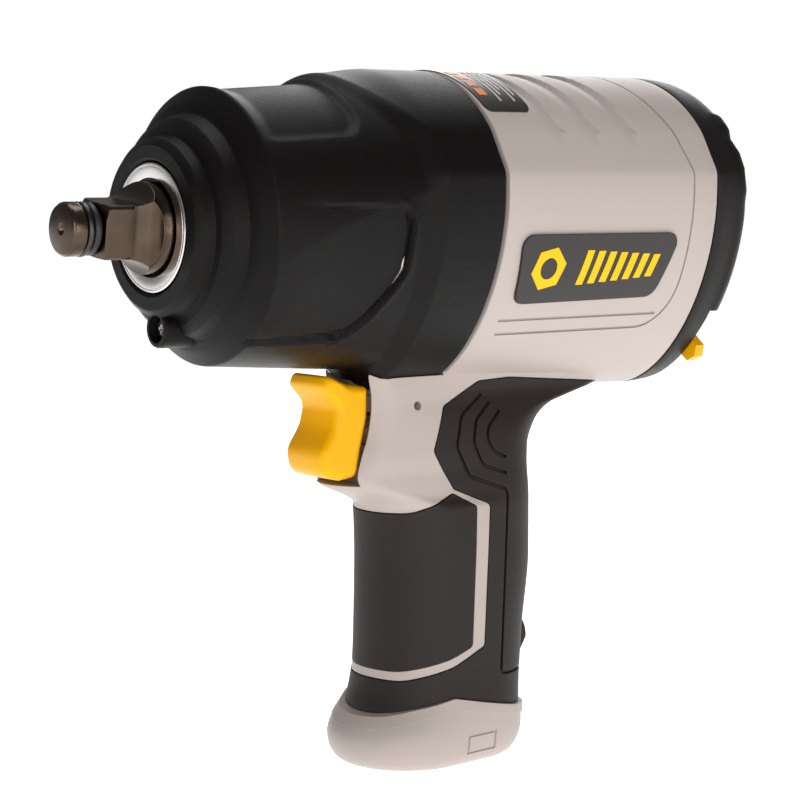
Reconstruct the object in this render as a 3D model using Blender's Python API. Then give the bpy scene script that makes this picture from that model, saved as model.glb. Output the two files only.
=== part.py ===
"""Half-inch air impact wrench, built as its separate pieces at real size.

Everything is measured in millimetres in the tool's own frame and scaled to metres when a piece is made.
The tool frame has its origin on the drive axis at the tip of the square drive: +X runs back along the
drive axis, +Z is up and the handle hangs towards -Z. An empty carries that frame to where the tool stands:
the base flat on Z = 0, with the middle of the tool's length at X = 0.
"""

import math

import bmesh
import bpy
from mathutils import Matrix, Vector

MM = 0.001
GAP = 0.3  # between pieces that touch
FIT = 0.2  # around a shaft that turns in its bore
LONG = 200.0  # longer than the tool: how far a cutter reaches

# ---------------------------------------------------------------- driving dimensions
# Along the drive axis
DRIVE_REACH = 23.7  # tip of the square drive to the nose face
CASE_LENGTH = 79.2  # nose face to the back of the hammer case
HOUSING_LENGTH = 72.2  # motor housing, front face to back face
COVER_LENGTH = 13.5  # rear cover
GASKET = 0.5

# Square drive
DRIVE_SQUARE = 12.7  # across flats
JOURNAL_RADIUS = 10.9  # the anvil where it turns in its bush
BUSH_WALL = 2.6
NOSE_RING_WIDTH = 4.3  # the bright end of the hammer case around the anvil

# Body section
BODY_TOP = 38.4  # radius of the top arc
BODY_HALF_WIDTH = 36.6
BODY_DEPTH_FRONT = 42.0  # drive axis to the lowest line at the front of the housing
BODY_DEPTH_BACK = 45.0
BOOT_WALL = 2.4
CASE_WALL = 3.0

# Hammers and motor
CAGE_RADIUS = 25.0
HAMMER_THICKNESS = 14.0
HAMMER_PIN_RADIUS = 2.9
MOTOR_RADIUS = 28.9  # outside of the cylinder
ROTOR_RADIUS = 21.0
ECCENTRICITY = 2.1
VANE_COUNT = 6
VANE_THICKNESS = 2.0
BEARING_BORE = 6.2
BEARING_RADIUS = 15.5
BEARING_WIDTH = 7.0

# Handle
AXIS_HEIGHT = 139.0  # base to the drive axis
HANDLE_SETBACK = 8.4  # front of the housing to the middle of the handle
HANDLE_HALF_WIDTH = 18.0
HANDLE_HALF_DEPTH = 24.2
BASE_HEIGHT = 15.0  # base below the handle core
RUBBER = 1.8

# Trigger
TRIGGER_DROP = 50.0  # drive axis down to the trigger's rod
TRIGGER_HALF_WIDTH = 8.6
TRIGGER_TRAVEL = 5.0

# Air inlet
INLET_RADIUS = 6.2  # quarter-inch pipe thread, at its crests
INLET_HEX = 20.0  # across flats

# Fasteners
SCREW_RADIUS = 2.0
SCREW_HEAD_RADIUS = 3.3
SCREW_HEAD_HEIGHT = 2.6

# ---------------------------------------------------------------- stations along the drive axis
NOSE_X = DRIVE_REACH
CASE_BACK_X = NOSE_X + CASE_LENGTH
HOUSING_X = CASE_BACK_X + GASKET + 2 * GAP
HOUSING_BACK_X = HOUSING_X + HOUSING_LENGTH
COVER_X = HOUSING_BACK_X + GAP
COVER_BACK_X = COVER_X + COVER_LENGTH
OVERALL_LENGTH = COVER_BACK_X
HANDLE_X = HOUSING_X + HANDLE_SETBACK
CORE_BOTTOM_Z = BASE_HEIGHT - AXIS_HEIGHT
TRIGGER_Z = -TRIGGER_DROP


# ---------------------------------------------------------------- scene and materials
def clear_scene():
    for obj in list(bpy.data.objects):
        bpy.data.objects.remove(obj, do_unlink=True)


def material(name, colour, roughness, metallic=0.0):
    made = bpy.data.materials.new(name)
    made.use_nodes = True
    shader = made.node_tree.nodes["Principled BSDF"]
    shader.inputs["Base Color"].default_value = (*colour, 1.0)
    shader.inputs["Roughness"].default_value = roughness
    shader.inputs["Metallic"].default_value = metallic
    made.diffuse_color = (*colour, 1.0)
    return made


clear_scene()
GREY = material("grey_composite", (0.62, 0.58, 0.55), 0.45)
BLACK = material("black_cover", (0.022, 0.020, 0.020), 0.55)
RUBBER_BLACK = material("black_rubber", (0.030, 0.026, 0.025), 0.62)
YELLOW = material("yellow_plastic", (0.95, 0.52, 0.01), 0.35)
BRONZED = material("bronzed_steel", (0.30, 0.25, 0.21), 0.30, 1.0)
STEEL = material("ground_steel", (0.62, 0.61, 0.60), 0.28, 1.0)
ALUMINIUM = material("cast_aluminium", (0.72, 0.70, 0.70), 0.38, 1.0)
BRONZE = material("bearing_bronze", (0.60, 0.42, 0.20), 0.40, 1.0)
SEAL = material("seal_rubber", (0.015, 0.015, 0.015), 0.45)
FIBRE = material("vane_fibre", (0.36, 0.22, 0.12), 0.60)
FELT = material("muffler_felt", (0.55, 0.53, 0.50), 0.95)

TOOL = bpy.data.objects.new("tool_frame", None)
TOOL.location = (-OVERALL_LENGTH / 2 * MM, 0.0, AXIS_HEIGHT * MM)
bpy.context.scene.collection.objects.link(TOOL)


# ---------------------------------------------------------------- solids
def along(direction, origin):
    """Matrix that carries the local X axis to a direction, with its origin at a point."""
    turn = Vector((1, 0, 0)).rotation_difference(Vector(direction)).to_matrix().to_4x4()
    return Matrix.Translation(Vector(origin)) @ turn


def loft(loops):
    """Closed solid through loops that all have the same number of points."""
    bm = bmesh.new()
    rings = [[bm.verts.new(p) for p in loop] for loop in loops]
    for first, second in zip(rings, rings[1:]):
        for i in range(len(first)):
            bm.faces.new((first[i - 1], first[i], second[i]))
            bm.faces.new((first[i - 1], second[i], second[i - 1]))
    for ring in (rings[0], rings[-1]):
        bm.faces.new(ring)
    bmesh.ops.recalc_face_normals(bm, faces=bm.faces)
    return bm


def turned(profile, segments=24, matrix=None):
    """Solid turned about the X axis from (x, radius) points, closed between the last and the first."""
    bm = bmesh.new()
    points = [bm.verts.new((x, 0.0, radius)) for x, radius in profile]
    closing = [] if profile[0][1] == profile[-1][1] == 0.0 else [(points[-1], points[0])]
    sides = [bm.edges.new(pair) for pair in [*zip(points, points[1:]), *closing]]
    bmesh.ops.spin(
        bm, geom=points + sides, cent=(0, 0, 0), axis=(1, 0, 0), angle=math.tau, steps=segments, use_merge=True
    )
    bmesh.ops.remove_doubles(bm, verts=bm.verts, dist=0.0005)
    bmesh.ops.dissolve_degenerate(bm, edges=bm.edges, dist=0.0005)
    bmesh.ops.delete(bm, geom=[edge for edge in bm.edges if not edge.link_faces], context="EDGES")
    bmesh.ops.recalc_face_normals(bm, faces=bm.faces)
    if matrix is not None:
        bmesh.ops.transform(bm, matrix=matrix, verts=bm.verts)
    return bm


def rod(radius, start, end, segments=16, matrix=None):
    return turned([(start, 0.0), (start, radius), (end, radius), (end, 0.0)], segments, matrix)


def tube(inner, outer, start, end, segments=24, matrix=None):
    return turned([(start, inner), (start, outer), (end, outer), (end, inner)], segments, matrix)


def prism(outline, start, end, plane="XZ"):
    """An outline drawn in a plane and pushed from start to end along the plane's normal."""
    lifts = {"XZ": lambda a, b, h: (a, h, b), "XY": lambda a, b, h: (a, b, h), "YZ": lambda a, b, h: (h, a, b)}
    lift = lifts[plane]
    return loft([[lift(a, b, height) for a, b in outline] for height in (start, end)])


def block(low, high):
    corners = [(low[0], low[2]), (high[0], low[2]), (high[0], high[2]), (low[0], high[2])]
    return prism(corners, low[1], high[1])


def arc(centre, radius, start, end, steps):
    """Points on an arc, the angles in degrees."""
    angles = [math.radians(start + (end - start) * i / steps) for i in range(steps + 1)]
    return [(centre[0] + radius * math.cos(a), centre[1] + radius * math.sin(a)) for a in angles]


def rounded(corners, radius, steps=3):
    """A polygon with its corners rounded. A corner may carry its own radius as a third number."""
    points = []
    for i, corner in enumerate(corners):
        here = Vector(corner[:2])
        back = (Vector(corners[i - 1][:2]) - here).normalized()
        ahead = (Vector(corners[(i + 1) % len(corners)][:2]) - here).normalized()
        bend = corner[2] if len(corner) > 2 else radius
        half = back.angle(ahead) / 2
        if bend <= 0 or half > math.radians(88):
            points.append(tuple(here))
            continue
        reach = bend / math.tan(half)
        first, last = here + back * reach, here + ahead * reach
        for step in range(steps + 1):
            t = step / steps
            points.append(tuple((1 - t) ** 2 * first + 2 * t * (1 - t) * here + t * t * last))
    return points


def helper(bm):
    """A throwaway object for a Boolean."""
    mesh = bpy.data.meshes.new("helper")
    bm.to_mesh(mesh)
    bm.free()
    obj = bpy.data.objects.new("helper", mesh)
    bpy.context.scene.collection.objects.link(obj)
    return obj


def combine(solid, others, operation):
    """The bmesh that a chain of exact Booleans leaves of a solid."""
    base = helper(solid)
    tools = [helper(other) for other in others]
    for tool in tools:
        step = base.modifiers.new("step", "BOOLEAN")
        step.operation = operation
        step.object = tool
    bpy.context.view_layer.update()
    graph = bpy.context.evaluated_depsgraph_get()
    done = bmesh.new()
    done.from_object(base, graph)
    bmesh.ops.holes_fill(done, edges=[edge for edge in done.edges if edge.is_boundary], sides=6)
    for obj in [base, *tools]:
        mesh = obj.data
        bpy.data.objects.remove(obj, do_unlink=True)
        bpy.data.meshes.remove(mesh)
    return done


def cut(solid, *cutters):
    return combine(solid, cutters, "DIFFERENCE")


def joined(solid, *others):
    return combine(solid, others, "UNION")


def common(solid, other):
    return combine(solid, [other], "INTERSECT")


def piece(name, solid, finish, at=(0.0, 0.0, 0.0)):
    """Makes a named part from a solid in the tool frame. Its own origin goes to the point given."""
    bmesh.ops.translate(solid, verts=solid.verts, vec=-Vector(at))
    bmesh.ops.scale(solid, verts=solid.verts, vec=(MM, MM, MM))
    mesh = bpy.data.meshes.new(name)
    solid.to_mesh(mesh)
    solid.free()
    mesh.shade_smooth()
    mesh.set_sharp_from_angle(angle=math.radians(32))
    mesh.materials.clear()
    mesh.materials.append(finish)
    obj = bpy.data.objects.new(name, mesh)
    obj.location = Vector(at) * MM
    obj.parent = TOOL
    bpy.context.scene.collection.objects.link(obj)
    return obj


def screw(name, seat, direction, reach, head_radius=SCREW_HEAD_RADIUS):
    """Socket-head screw: the head's underside at the seat, its shank reaching along the direction."""
    profile = [
        (-SCREW_HEAD_HEIGHT * 0.4, 0.0),
        (-SCREW_HEAD_HEIGHT * 0.4, head_radius * 0.5),
        (-SCREW_HEAD_HEIGHT, head_radius * 0.5),
        (-SCREW_HEAD_HEIGHT, head_radius),
        (0.0, head_radius),
        (0.0, SCREW_RADIUS),
        (reach, SCREW_RADIUS),
        (reach, 0.0),
    ]
    return piece(name, turned(profile, 10, along(direction, seat)), STEEL)


# ---------------------------------------------------------------- body section
# The section is a top arc, a flat facet from corner A to corner B, and a curve that narrows to the handle.
FACET_TOP_ANGLE = 37.0  # corner A, degrees above level
FACET_LOW_Z = 13.0  # corner B
CURVE_TOP_Z = 8.0
CURVE_POWER = 1.85
CURVE_ROOT = 1.7
ARC_STEPS = 5
CURVE_STEPS = 8


def half_outline(depth, shrink=0.0):
    """(y, z) points of the body's section from the top centre down one side to the bottom centre."""
    radius = BODY_TOP - shrink
    half = BODY_HALF_WIDTH - shrink
    points = arc((0, 0), radius, 90, FACET_TOP_ANGLE, ARC_STEPS)
    points.append((half, FACET_LOW_Z))
    drop = CURVE_TOP_Z + depth - shrink
    for i in range(CURVE_STEPS + 1):
        down = math.sin(math.pi / 2 * i / CURVE_STEPS)
        points.append((half * (1 - down**CURVE_POWER) ** (1 / CURVE_ROOT), CURVE_TOP_Z - drop * down))
    return points


def body_loop(x, depth, shrink=0.0, scale=1.0):
    half = half_outline(depth, shrink)
    whole = half + [(-y, z) for y, z in reversed(half[1:-1])]
    return [(x, y * scale, z * scale) for y, z in whole]


def circle_loop(x, radius, like):
    """A circle with its points at the same directions as another loop's, so that the two loft together."""
    return [(x, *(Vector(point[1:]).normalized() * radius)) for point in like]


def depth_at(x):
    """The body is a little deeper towards the back."""
    share = (x - HOUSING_X) / HOUSING_LENGTH
    return BODY_DEPTH_FRONT + (BODY_DEPTH_BACK - BODY_DEPTH_FRONT) * min(max(share, 0.0), 1.0)


def body_solid(start, end, shrink=0.0):
    return loft([body_loop(x, depth_at(x), shrink) for x in (start, end)])


# ---------------------------------------------------------------- handle section
def capsule(z, front, back, front_radius, back_radius, steps=6):
    """Plan section of the handle: two circles and their common tangents."""
    a, b = front + front_radius, back - back_radius
    lean = math.degrees(math.asin((back_radius - front_radius) / (b - a)))
    nose = arc((a, 0), front_radius, 90 + lean, 270 - lean, steps)
    tail = arc((b, 0), back_radius, -90 - lean, 90 + lean, steps)
    return [(x, y, z) for x, y in nose + tail]


GRIP_FRONT = HANDLE_X - HANDLE_HALF_DEPTH
GRIP_BACK = HANDLE_X + HANDLE_HALF_DEPTH
LIP_X = GRIP_FRONT - 14.5  # foremost point of the lip under the trigger
NECK_X = GRIP_FRONT - 7.0  # front of the neck beside the trigger


def handle_rows():
    """(z, front, back, front radius, back radius) down the neck and the handle, to the core's bottom."""
    wide = HANDLE_HALF_WIDTH
    top = BODY_DEPTH_FRONT
    grip_top = top + 32.0
    bottom = -CORE_BOTTOM_Z
    return [
        (top - 14.0, NECK_X - 2.0, GRIP_BACK + 30.0, wide * 0.60, wide * 0.60),
        (top - 5.0, NECK_X - 5.0, GRIP_BACK + 29.5, wide * 0.56, wide * 0.60),
        (top + 1.0, NECK_X - 3.0, GRIP_BACK + 27.0, wide * 0.67, wide * 0.56),
        (top + 3.2, NECK_X - 3.0, GRIP_BACK + 19.0, wide * 0.67, wide * 0.62),
        (top + 6.0, NECK_X - 3.0, GRIP_BACK + 8.0, wide * 0.67, wide * 0.74),
        (top + 10.5, NECK_X - 4.0, GRIP_BACK + 2.4, wide * 0.68, wide * 0.84),
        (top + 16.0, NECK_X - 6.0, GRIP_BACK, wide * 0.68, wide * 0.90),
        (top + 21.0, LIP_X, GRIP_BACK - 0.3, wide * 0.64, wide * 0.94),
        (top + 23.5, LIP_X + 1.4, GRIP_BACK - 0.2, wide * 0.68, wide * 0.96),
        (top + 27.0, GRIP_FRONT - 5.5, GRIP_BACK, wide * 0.80, wide * 0.98),
        (grip_top - 2.0, GRIP_FRONT - 0.4, GRIP_BACK, wide * 0.97, wide),
        (grip_top + 12.0, GRIP_FRONT, GRIP_BACK, wide, wide),
        (bottom - 18.0, GRIP_FRONT - 0.4, GRIP_BACK - 2.2, wide, wide),
        (bottom - 10.0, GRIP_FRONT - 0.8, GRIP_BACK - 2.8, wide, wide),
        (bottom - 5.0, GRIP_FRONT - 1.6, GRIP_BACK - 3.2, wide + 0.2, wide + 0.2),
        (bottom, GRIP_FRONT - 3.0, GRIP_BACK - 3.4, wide + 0.6, wide + 0.5),
    ]


def handle_solid(shrink=0.0, top_row=0):
    loops = []
    for z, front, back, front_radius, back_radius in handle_rows()[top_row:]:
        loops.append(capsule(-z, front + shrink, back - shrink, front_radius - shrink, back_radius - shrink))
    return loft(loops)


# Outlines on the handle's side, as (x, z). Both rubber pieces wrap the handle, so one outline
# serves both sides.
SEAM = 4.0  # grey strip between the two rubber pieces
LINE = 2.0  # grey line around the front, below the front panel
PANEL_BACK = HANDLE_X - 3.0
PANEL_TOP = -(BODY_DEPTH_FRONT + 27.0)
PANEL_LOW = CORE_BOTTOM_Z + 16.0
BAND_FRONT_Z = CORE_BOTTOM_Z - 1.2


def front_panel_outline(grow=0.0):
    ahead = LIP_X - 20.0
    return [
        (ahead, PANEL_TOP - 0.4 + grow),
        (GRIP_FRONT, PANEL_TOP - 0.4 + grow),
        (GRIP_FRONT + 1.4, PANEL_TOP - 3.4 + grow),
        (GRIP_FRONT + 4.5, PANEL_TOP - 4.4 + grow),
        (GRIP_FRONT + 8.0, PANEL_TOP - 3.2 + grow),
        (PANEL_BACK - 8.0, PANEL_TOP + grow),
        (PANEL_BACK + grow, PANEL_TOP - 3.4 + grow / 2),
        (PANEL_BACK - 1.0 + grow, PANEL_LOW - grow / 2),
        (PANEL_BACK - 5.0, PANEL_LOW - 2.2 - grow),
        (GRIP_FRONT + 11.0, PANEL_LOW - 4.9 - grow),
        (GRIP_FRONT + 4.0, PANEL_LOW - 6.4 - grow),
        (ahead, PANEL_LOW - 6.8 - grow),
    ]


def base_line(drop=0.0):
    """Where the rubber ends and the base begins, from the front to the back."""
    return [(LIP_X - 20.0, BAND_FRONT_Z - drop), (GRIP_BACK + 40.0, BAND_FRONT_Z - drop)]


def rear_grip_outline(grow=0.0):
    top = -(BODY_DEPTH_FRONT - 1.6)
    thumb = PANEL_BACK - 13.2
    inner = PANEL_BACK + SEAM
    upper = [
        (GRIP_BACK + 29.6 + grow, top - 3.2 + grow),
        (thumb + 19.5, top + grow),
        (thumb + 4.0 - grow, top - 5.2 + grow),
        (thumb - grow, top - 16.4),
        (thumb + 6.2 - grow, top - 26.0 - grow / 2),
        (inner + 0.6 - grow, PANEL_TOP - 2.9 - grow / 2),
        (inner - 1.0 - grow, PANEL_LOW + 0.4 + grow / 2),
        (PANEL_BACK - 4.6, PANEL_LOW - 2.2 - LINE + grow),
        (GRIP_FRONT + 11.0, PANEL_LOW - 4.9 - LINE + grow),
        (GRIP_FRONT + 4.0, PANEL_LOW - 6.4 - LINE + grow),
        (LIP_X - 20.0, PANEL_LOW - 6.8 - LINE + grow),
    ]
    back_edge = GRIP_BACK + 40.0
    return upper + base_line(grow) + [(back_edge, top - 14.0), (GRIP_BACK + 29.6 + grow, top - 14.0)]


# ---------------------------------------------------------------- positions of the screws
def mirrored(y, z):
    return [("left", -y, z), ("right", y, z)]


COVER_SCREWS = [("upper", 26.5, 19.5), ("lower", 26.5, -12.5)]
BASE_SCREW_Y = 11.0
INLET_X = HANDLE_X - 7.0
EXHAUST_RADIUS = 6.0
EXHAUST_X = GRIP_BACK - 3.4 - RUBBER - GAP - 1.3 - EXHAUST_RADIUS  # a wall of 1.3 to the grip recess
BASE_SCREW_X = HANDLE_X + 4.4


# ---------------------------------------------------------------- front end: case, boot, bush, seal
BUSH_X = NOSE_X + 5.6
CASE_WALL_X = NOSE_X + 24.8  # back of the wall that carries the bush
TRIGGER_BACK_X = GRIP_FRONT - 5.7
TRIGGER_TOP_Z = -(BODY_DEPTH_FRONT - 2.4)
POCKET_X = TRIGGER_BACK_X + TRIGGER_TRAVEL + 0.6
BOOT_START = 30.0
SNOUT_RADIUS = JOURNAL_RADIUS + NOSE_RING_WIDTH
BOSS_Z = -(SNOUT_RADIUS + 8.8)
BOSS_RADIUS = 4.4
CASE_SCREW_RADIAL = [("upper", 27.2, 17.8), ("lower", 13.4, -29.0)]
CASE_SCREW_HEAD = 2.9


def boot_loops(shrink=0.0, back=None):
    """Outside of the boot: circles around the nose that turn into the body section."""
    back = CASE_BACK_X if back is None else back
    like = body_loop(0, BODY_DEPTH_FRONT)
    rings = [(30.0, SNOUT_RADIUS + 9.8), (35.0, SNOUT_RADIUS + 13.8), (37.6, 32.5), (64.0, 34.6), (71.0, 35.4)]
    loops = [circle_loop(x + (shrink * 0.5 if x < 36 else 0), radius - shrink, like) for x, radius in rings]
    loops.append(body_loop(79.0, 37.6 + 2.0, shrink + 1.6))
    loops.append(body_loop(86.0, BODY_DEPTH_FRONT - 1.0, shrink))
    loops.append(body_loop(back, BODY_DEPTH_FRONT, shrink))
    return loops


def case_outside(grow=0.0):
    like = body_loop(0, BODY_DEPTH_FRONT)
    snout = [
        circle_loop(NOSE_X - (grow and 5.0), SNOUT_RADIUS + grow, like),
        circle_loop(BOOT_START + 1.2, SNOUT_RADIUS + grow, like),
        circle_loop(BOOT_START + 3.0, SNOUT_RADIUS + 5.8 + grow, like),
    ]
    back = CASE_BACK_X + (grow and 5.0)
    return loft(snout + boot_loops(BOOT_WALL + GAP - grow, back)[1:])


def boot_outside(grow=0.0, back=None):
    like = body_loop(0, BODY_DEPTH_FRONT)
    nose = [(NOSE_X - grow, 4.2), (NOSE_X + 1.3, 5.8), (NOSE_X + 4.0, 6.8)]
    start = [circle_loop(x, SNOUT_RADIUS + wall + grow, like) for x, wall in nose]
    return loft(start + boot_loops(-grow, back))


def x_rod(radius, start, end, y, z, segments=16):
    return rod(radius, start, end, segments, Matrix.Translation((0, y, z)))


def z_rod(radius, low, high, x, y=0.0, segments=24):
    return rod(radius, low, high, segments, Matrix.Translation((x, y, 0)) @ along((0, 0, 1), (0, 0, 0)))


def case_screw_places():
    rows = CASE_SCREW_RADIAL
    return [(f"{level}_{side}", y, z) for level, width, z in rows for side, y, z in mirrored(width, z)]


def trigger_path(low, high):
    """The slot that the trigger slides in, between two heights."""
    side = TRIGGER_HALF_WIDTH + 0.4
    return block((LIP_X - 30, -side, low), (POCKET_X, side, high))


def make_front_end():
    hollow = [
        x_rod(CAGE_RADIUS + 1.2, CASE_WALL_X, CASE_BACK_X + 5, 0, 0, 28),
        x_rod(JOURNAL_RADIUS + BUSH_WALL + FIT, NOSE_X + 2.6, CASE_WALL_X + 1, 0, 0, 28),
        x_rod(JOURNAL_RADIUS + 0.5, NOSE_X - 1, CASE_WALL_X, 0, 0, 28),
        x_rod(SCREW_RADIUS + FIT, BOOT_START, CASE_WALL_X - 6, 0, BOSS_Z, 12),
    ]
    for _, y, z in case_screw_places():
        hollow.append(x_rod(CASE_SCREW_HEAD + GAP, 74, CASE_BACK_X - 6, y, z, 12))
        hollow.append(x_rod(SCREW_RADIUS + FIT, 90, CASE_BACK_X + 5, y, z, 12))
    piece("hammer_case", cut(case_outside(), *hollow), ALUMINIUM)

    boss = x_rod(BOSS_RADIUS, NOSE_X + 0.8, BOOT_START + 5, 0, BOSS_Z, 20)
    shell = joined(boot_outside(), boss)
    opened = cut(
        shell,
        case_outside(GAP),
        x_rod(SCREW_RADIUS + FIT, NOSE_X - 2, BOOT_START + 9, 0, BOSS_Z, 12),
        x_rod(SCREW_HEAD_RADIUS - 0.1, NOSE_X - 2, NOSE_X + 5.6, 0, BOSS_Z, 20),
        trigger_path(-LONG / 2, TRIGGER_TOP_Z + GAP),
    )
    piece("nose_boot", opened, BLACK)
    seat = (NOSE_X + 5.6 - GAP, 0, BOSS_Z)
    screw("boot_screw", seat, (1, 0, 0), 12.0, SCREW_HEAD_RADIUS - 0.5)
    for place, y, z in case_screw_places():
        screw(f"case_screw_{place}", (CASE_BACK_X - 6.3, y, z), (1, 0, 0), 19.0, CASE_SCREW_HEAD)

    bush = JOURNAL_RADIUS + BUSH_WALL
    piece("anvil_bush", tube(JOURNAL_RADIUS + FIT, bush, BUSH_X + GAP, CASE_WALL_X - GAP, 28), BRONZE)
    piece("nose_seal", tube(JOURNAL_RADIUS + FIT, bush, NOSE_X + 2.9, BUSH_X - GAP, 28), SEAL)

    faces = (CASE_BACK_X + GAP, HOUSING_X - GAP)
    sheet = loft([body_loop(x, BODY_DEPTH_FRONT, BOOT_WALL + GAP) for x in faces])
    holes = [x_rod(SCREW_RADIUS + GAP, 90, 120, y, z, 12) for _, y, z in case_screw_places()]
    piece("case_gasket", cut(sheet, x_rod(MOTOR_RADIUS, 90, 120, 0, 0, 28), *holes), SEAL)


# ---------------------------------------------------------------- impact mechanism
FLANGE_X = CASE_WALL_X + 0.8
CAGE_X = FLANGE_X + 2.4
HAMMER_FRONT_X = CAGE_X + 3.4
HAMMER_REAR_X = HAMMER_FRONT_X + HAMMER_THICKNESS + 0.5
CAGE_REAR_X = HAMMER_REAR_X + HAMMER_THICKNESS + 0.4
CAGE_BACK_X = CAGE_REAR_X + 6.0
HAMMER_PIN_REACH = 19.5  # drive axis to a hammer pin
HAMMER_RING = 19.8
HAMMER_BORE = 11.4
CORE_RADIUS = 8.5
JAW_RADIUS = 10.9
DRIVE_TURN = 9.0  # how far the square is turned from upright, degrees
RING_GROOVE = (3.7, 8.3)


def hexagon(across, x0, x1):
    return prism(arc((0, 0), across / math.sqrt(3), 0, 300, 5), x0, x1, "YZ")


def turned_about_x(solid, degrees):
    turn = Matrix.Rotation(math.radians(degrees), 3, "X")
    bmesh.ops.rotate(solid, verts=solid.verts, cent=(0, 0, 0), matrix=turn)
    return solid


def make_anvil():
    half = DRIVE_SQUARE / 2
    shank_x = NOSE_X - 3.0
    profile = [
        (1.2, 0.0),
        (0.0, 1.0),
        (0.0, half - 0.7),
        (0.7, half),
        (RING_GROOVE[0], half),
        (RING_GROOVE[0], half - 1.9),
        (RING_GROOVE[1], half - 1.9),
        (RING_GROOVE[1], half),
        (shank_x - 4.0, half),
        (shank_x, JOURNAL_RADIUS - 0.5),
        (shank_x + 0.8, JOURNAL_RADIUS),
        (FLANGE_X, JOURNAL_RADIUS),
        (FLANGE_X, JOURNAL_RADIUS + 1.8),
        (FLANGE_X + 1.8, JOURNAL_RADIUS + 1.8),
        (FLANGE_X + 1.8, CORE_RADIUS),
        (CAGE_REAR_X + 0.4, CORE_RADIUS),
        (CAGE_REAR_X + 0.4, 0.0),
    ]
    drive = block((RING_GROOVE[1] - 0.2, -half, -half), (shank_x - 0.5, half, half))
    turned_about_x(drive, DRIVE_TURN)
    drive = common(drive, x_rod(half * 1.34, 0, 40, 0, 0, 28))
    body = joined(turned(profile, 28), drive)
    for start, side in ((HAMMER_FRONT_X, 1), (HAMMER_REAR_X, -1)):
        reach = sorted((side * CORE_RADIUS * 0.6, side * JAW_RADIUS))
        jaw = block((start + 0.5, reach[0], -2.6), (start + HAMMER_THICKNESS - 0.5, reach[1], 2.6))
        body = joined(body, jaw)
    piece("anvil", body, BRONZED)

    floor = half - 1.9 + FIT
    piece("socket_oring", tube(floor, half - 0.5, 6.3, RING_GROOVE[1] - GAP, 20), SEAL)
    clip = tube(floor, half - 0.15, RING_GROOVE[0] + GAP, 6.0, 20)
    piece("socket_ring", cut(clip, block((3, -1.2, 0), (7, 1.2, 9))), STEEL)


def make_hammer(name, start, turn, pin_z):
    end = start + HAMMER_THICKNESS
    eye = x_rod(4.9, start + 0.4, end - 0.4, 0, HAMMER_PIN_REACH, 14)
    ring = joined(x_rod(HAMMER_RING, start, end, 0, 0, 36), eye)
    ring = cut(
        ring,
        x_rod(HAMMER_BORE, start - 1, end + 1, 0, 0, 28),
        x_rod(HAMMER_PIN_RADIUS + FIT, start - 1, end + 1, 0, HAMMER_PIN_REACH, 14),
        block((start - 1, -8.2, -30), (end + 1, 3.6, -HAMMER_PIN_REACH + HAMMER_PIN_RADIUS + 0.7)),
    )
    lug = block((start + 0.6, -2.6, -HAMMER_BORE - 1.5), (end - 0.6, 2.6, -CORE_RADIUS - 0.7))
    solid = turned_about_x(joined(ring, lug), turn)
    piece(name, solid, STEEL, (start + HAMMER_THICKNESS / 2, 0, pin_z))


def make_mechanism():
    make_anvil()
    pins = (("front", HAMMER_PIN_REACH), ("rear", -HAMMER_PIN_REACH))
    plates = [
        x_rod(CAGE_RADIUS, CAGE_X, CAGE_X + 3.0, 0, 0, 28),
        x_rod(CAGE_RADIUS, CAGE_REAR_X, CAGE_BACK_X, 0, 0, 28),
    ]
    webs = []
    for middle in (0, 180):
        outer = arc((0, 0), CAGE_RADIUS - 0.1, middle - 28, middle + 28, 6)
        inner = arc((0, 0), CAGE_RADIUS - 2.6, middle + 28, middle - 28, 6)
        webs.append(prism(outer + inner, CAGE_X + 1.0, CAGE_BACK_X - 1.0, "YZ"))
    frame = joined(plates[0], plates[1], *webs)
    bores = [x_rod(HAMMER_PIN_RADIUS + FIT, CAGE_X - 1, CAGE_REAR_X + 4, 0, z, 14) for _, z in pins]
    frame = cut(
        frame,
        x_rod(CORE_RADIUS + 1.0, CAGE_X - 1, CAGE_X + 4, 0, 0, 28),
        x_rod(CORE_RADIUS + 0.4, CAGE_REAR_X - 1, CAGE_REAR_X + 0.8, 0, 0, 28),
        hexagon(SHAFT_HEX + FIT * 2, CAGE_REAR_X + 0.5, CAGE_BACK_X + 1),
        *bores,
    )
    piece("hammer_cage", frame, STEEL)
    for name, z in pins:
        piece(f"hammer_pin_{name}", x_rod(HAMMER_PIN_RADIUS, CAGE_X + 0.2, CAGE_REAR_X + 3.6, 0, z, 14), STEEL)
    make_hammer("hammer_front", HAMMER_FRONT_X, 0, HAMMER_PIN_REACH)
    make_hammer("hammer_rear", HAMMER_REAR_X, 180, -HAMMER_PIN_REACH)


# ---------------------------------------------------------------- motor
PLATE_FRONT_X = HOUSING_X + GAP
CYLINDER_X = PLATE_FRONT_X + BEARING_WIDTH + 1.6
CYLINDER_LENGTH = 39.0
PLATE_REAR_X = CYLINDER_X + CYLINDER_LENGTH + GAP
PLATE_REAR_BACK_X = PLATE_REAR_X + BEARING_WIDTH + 1.6
MOTOR_BORE_END = PLATE_REAR_BACK_X + GAP
CYLINDER_BORE = ROTOR_RADIUS + ECCENTRICITY + 0.25
SHAFT_HEX = 11.0
SLOT_FLOOR = 11.0
BALL_COUNT = 7


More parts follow.
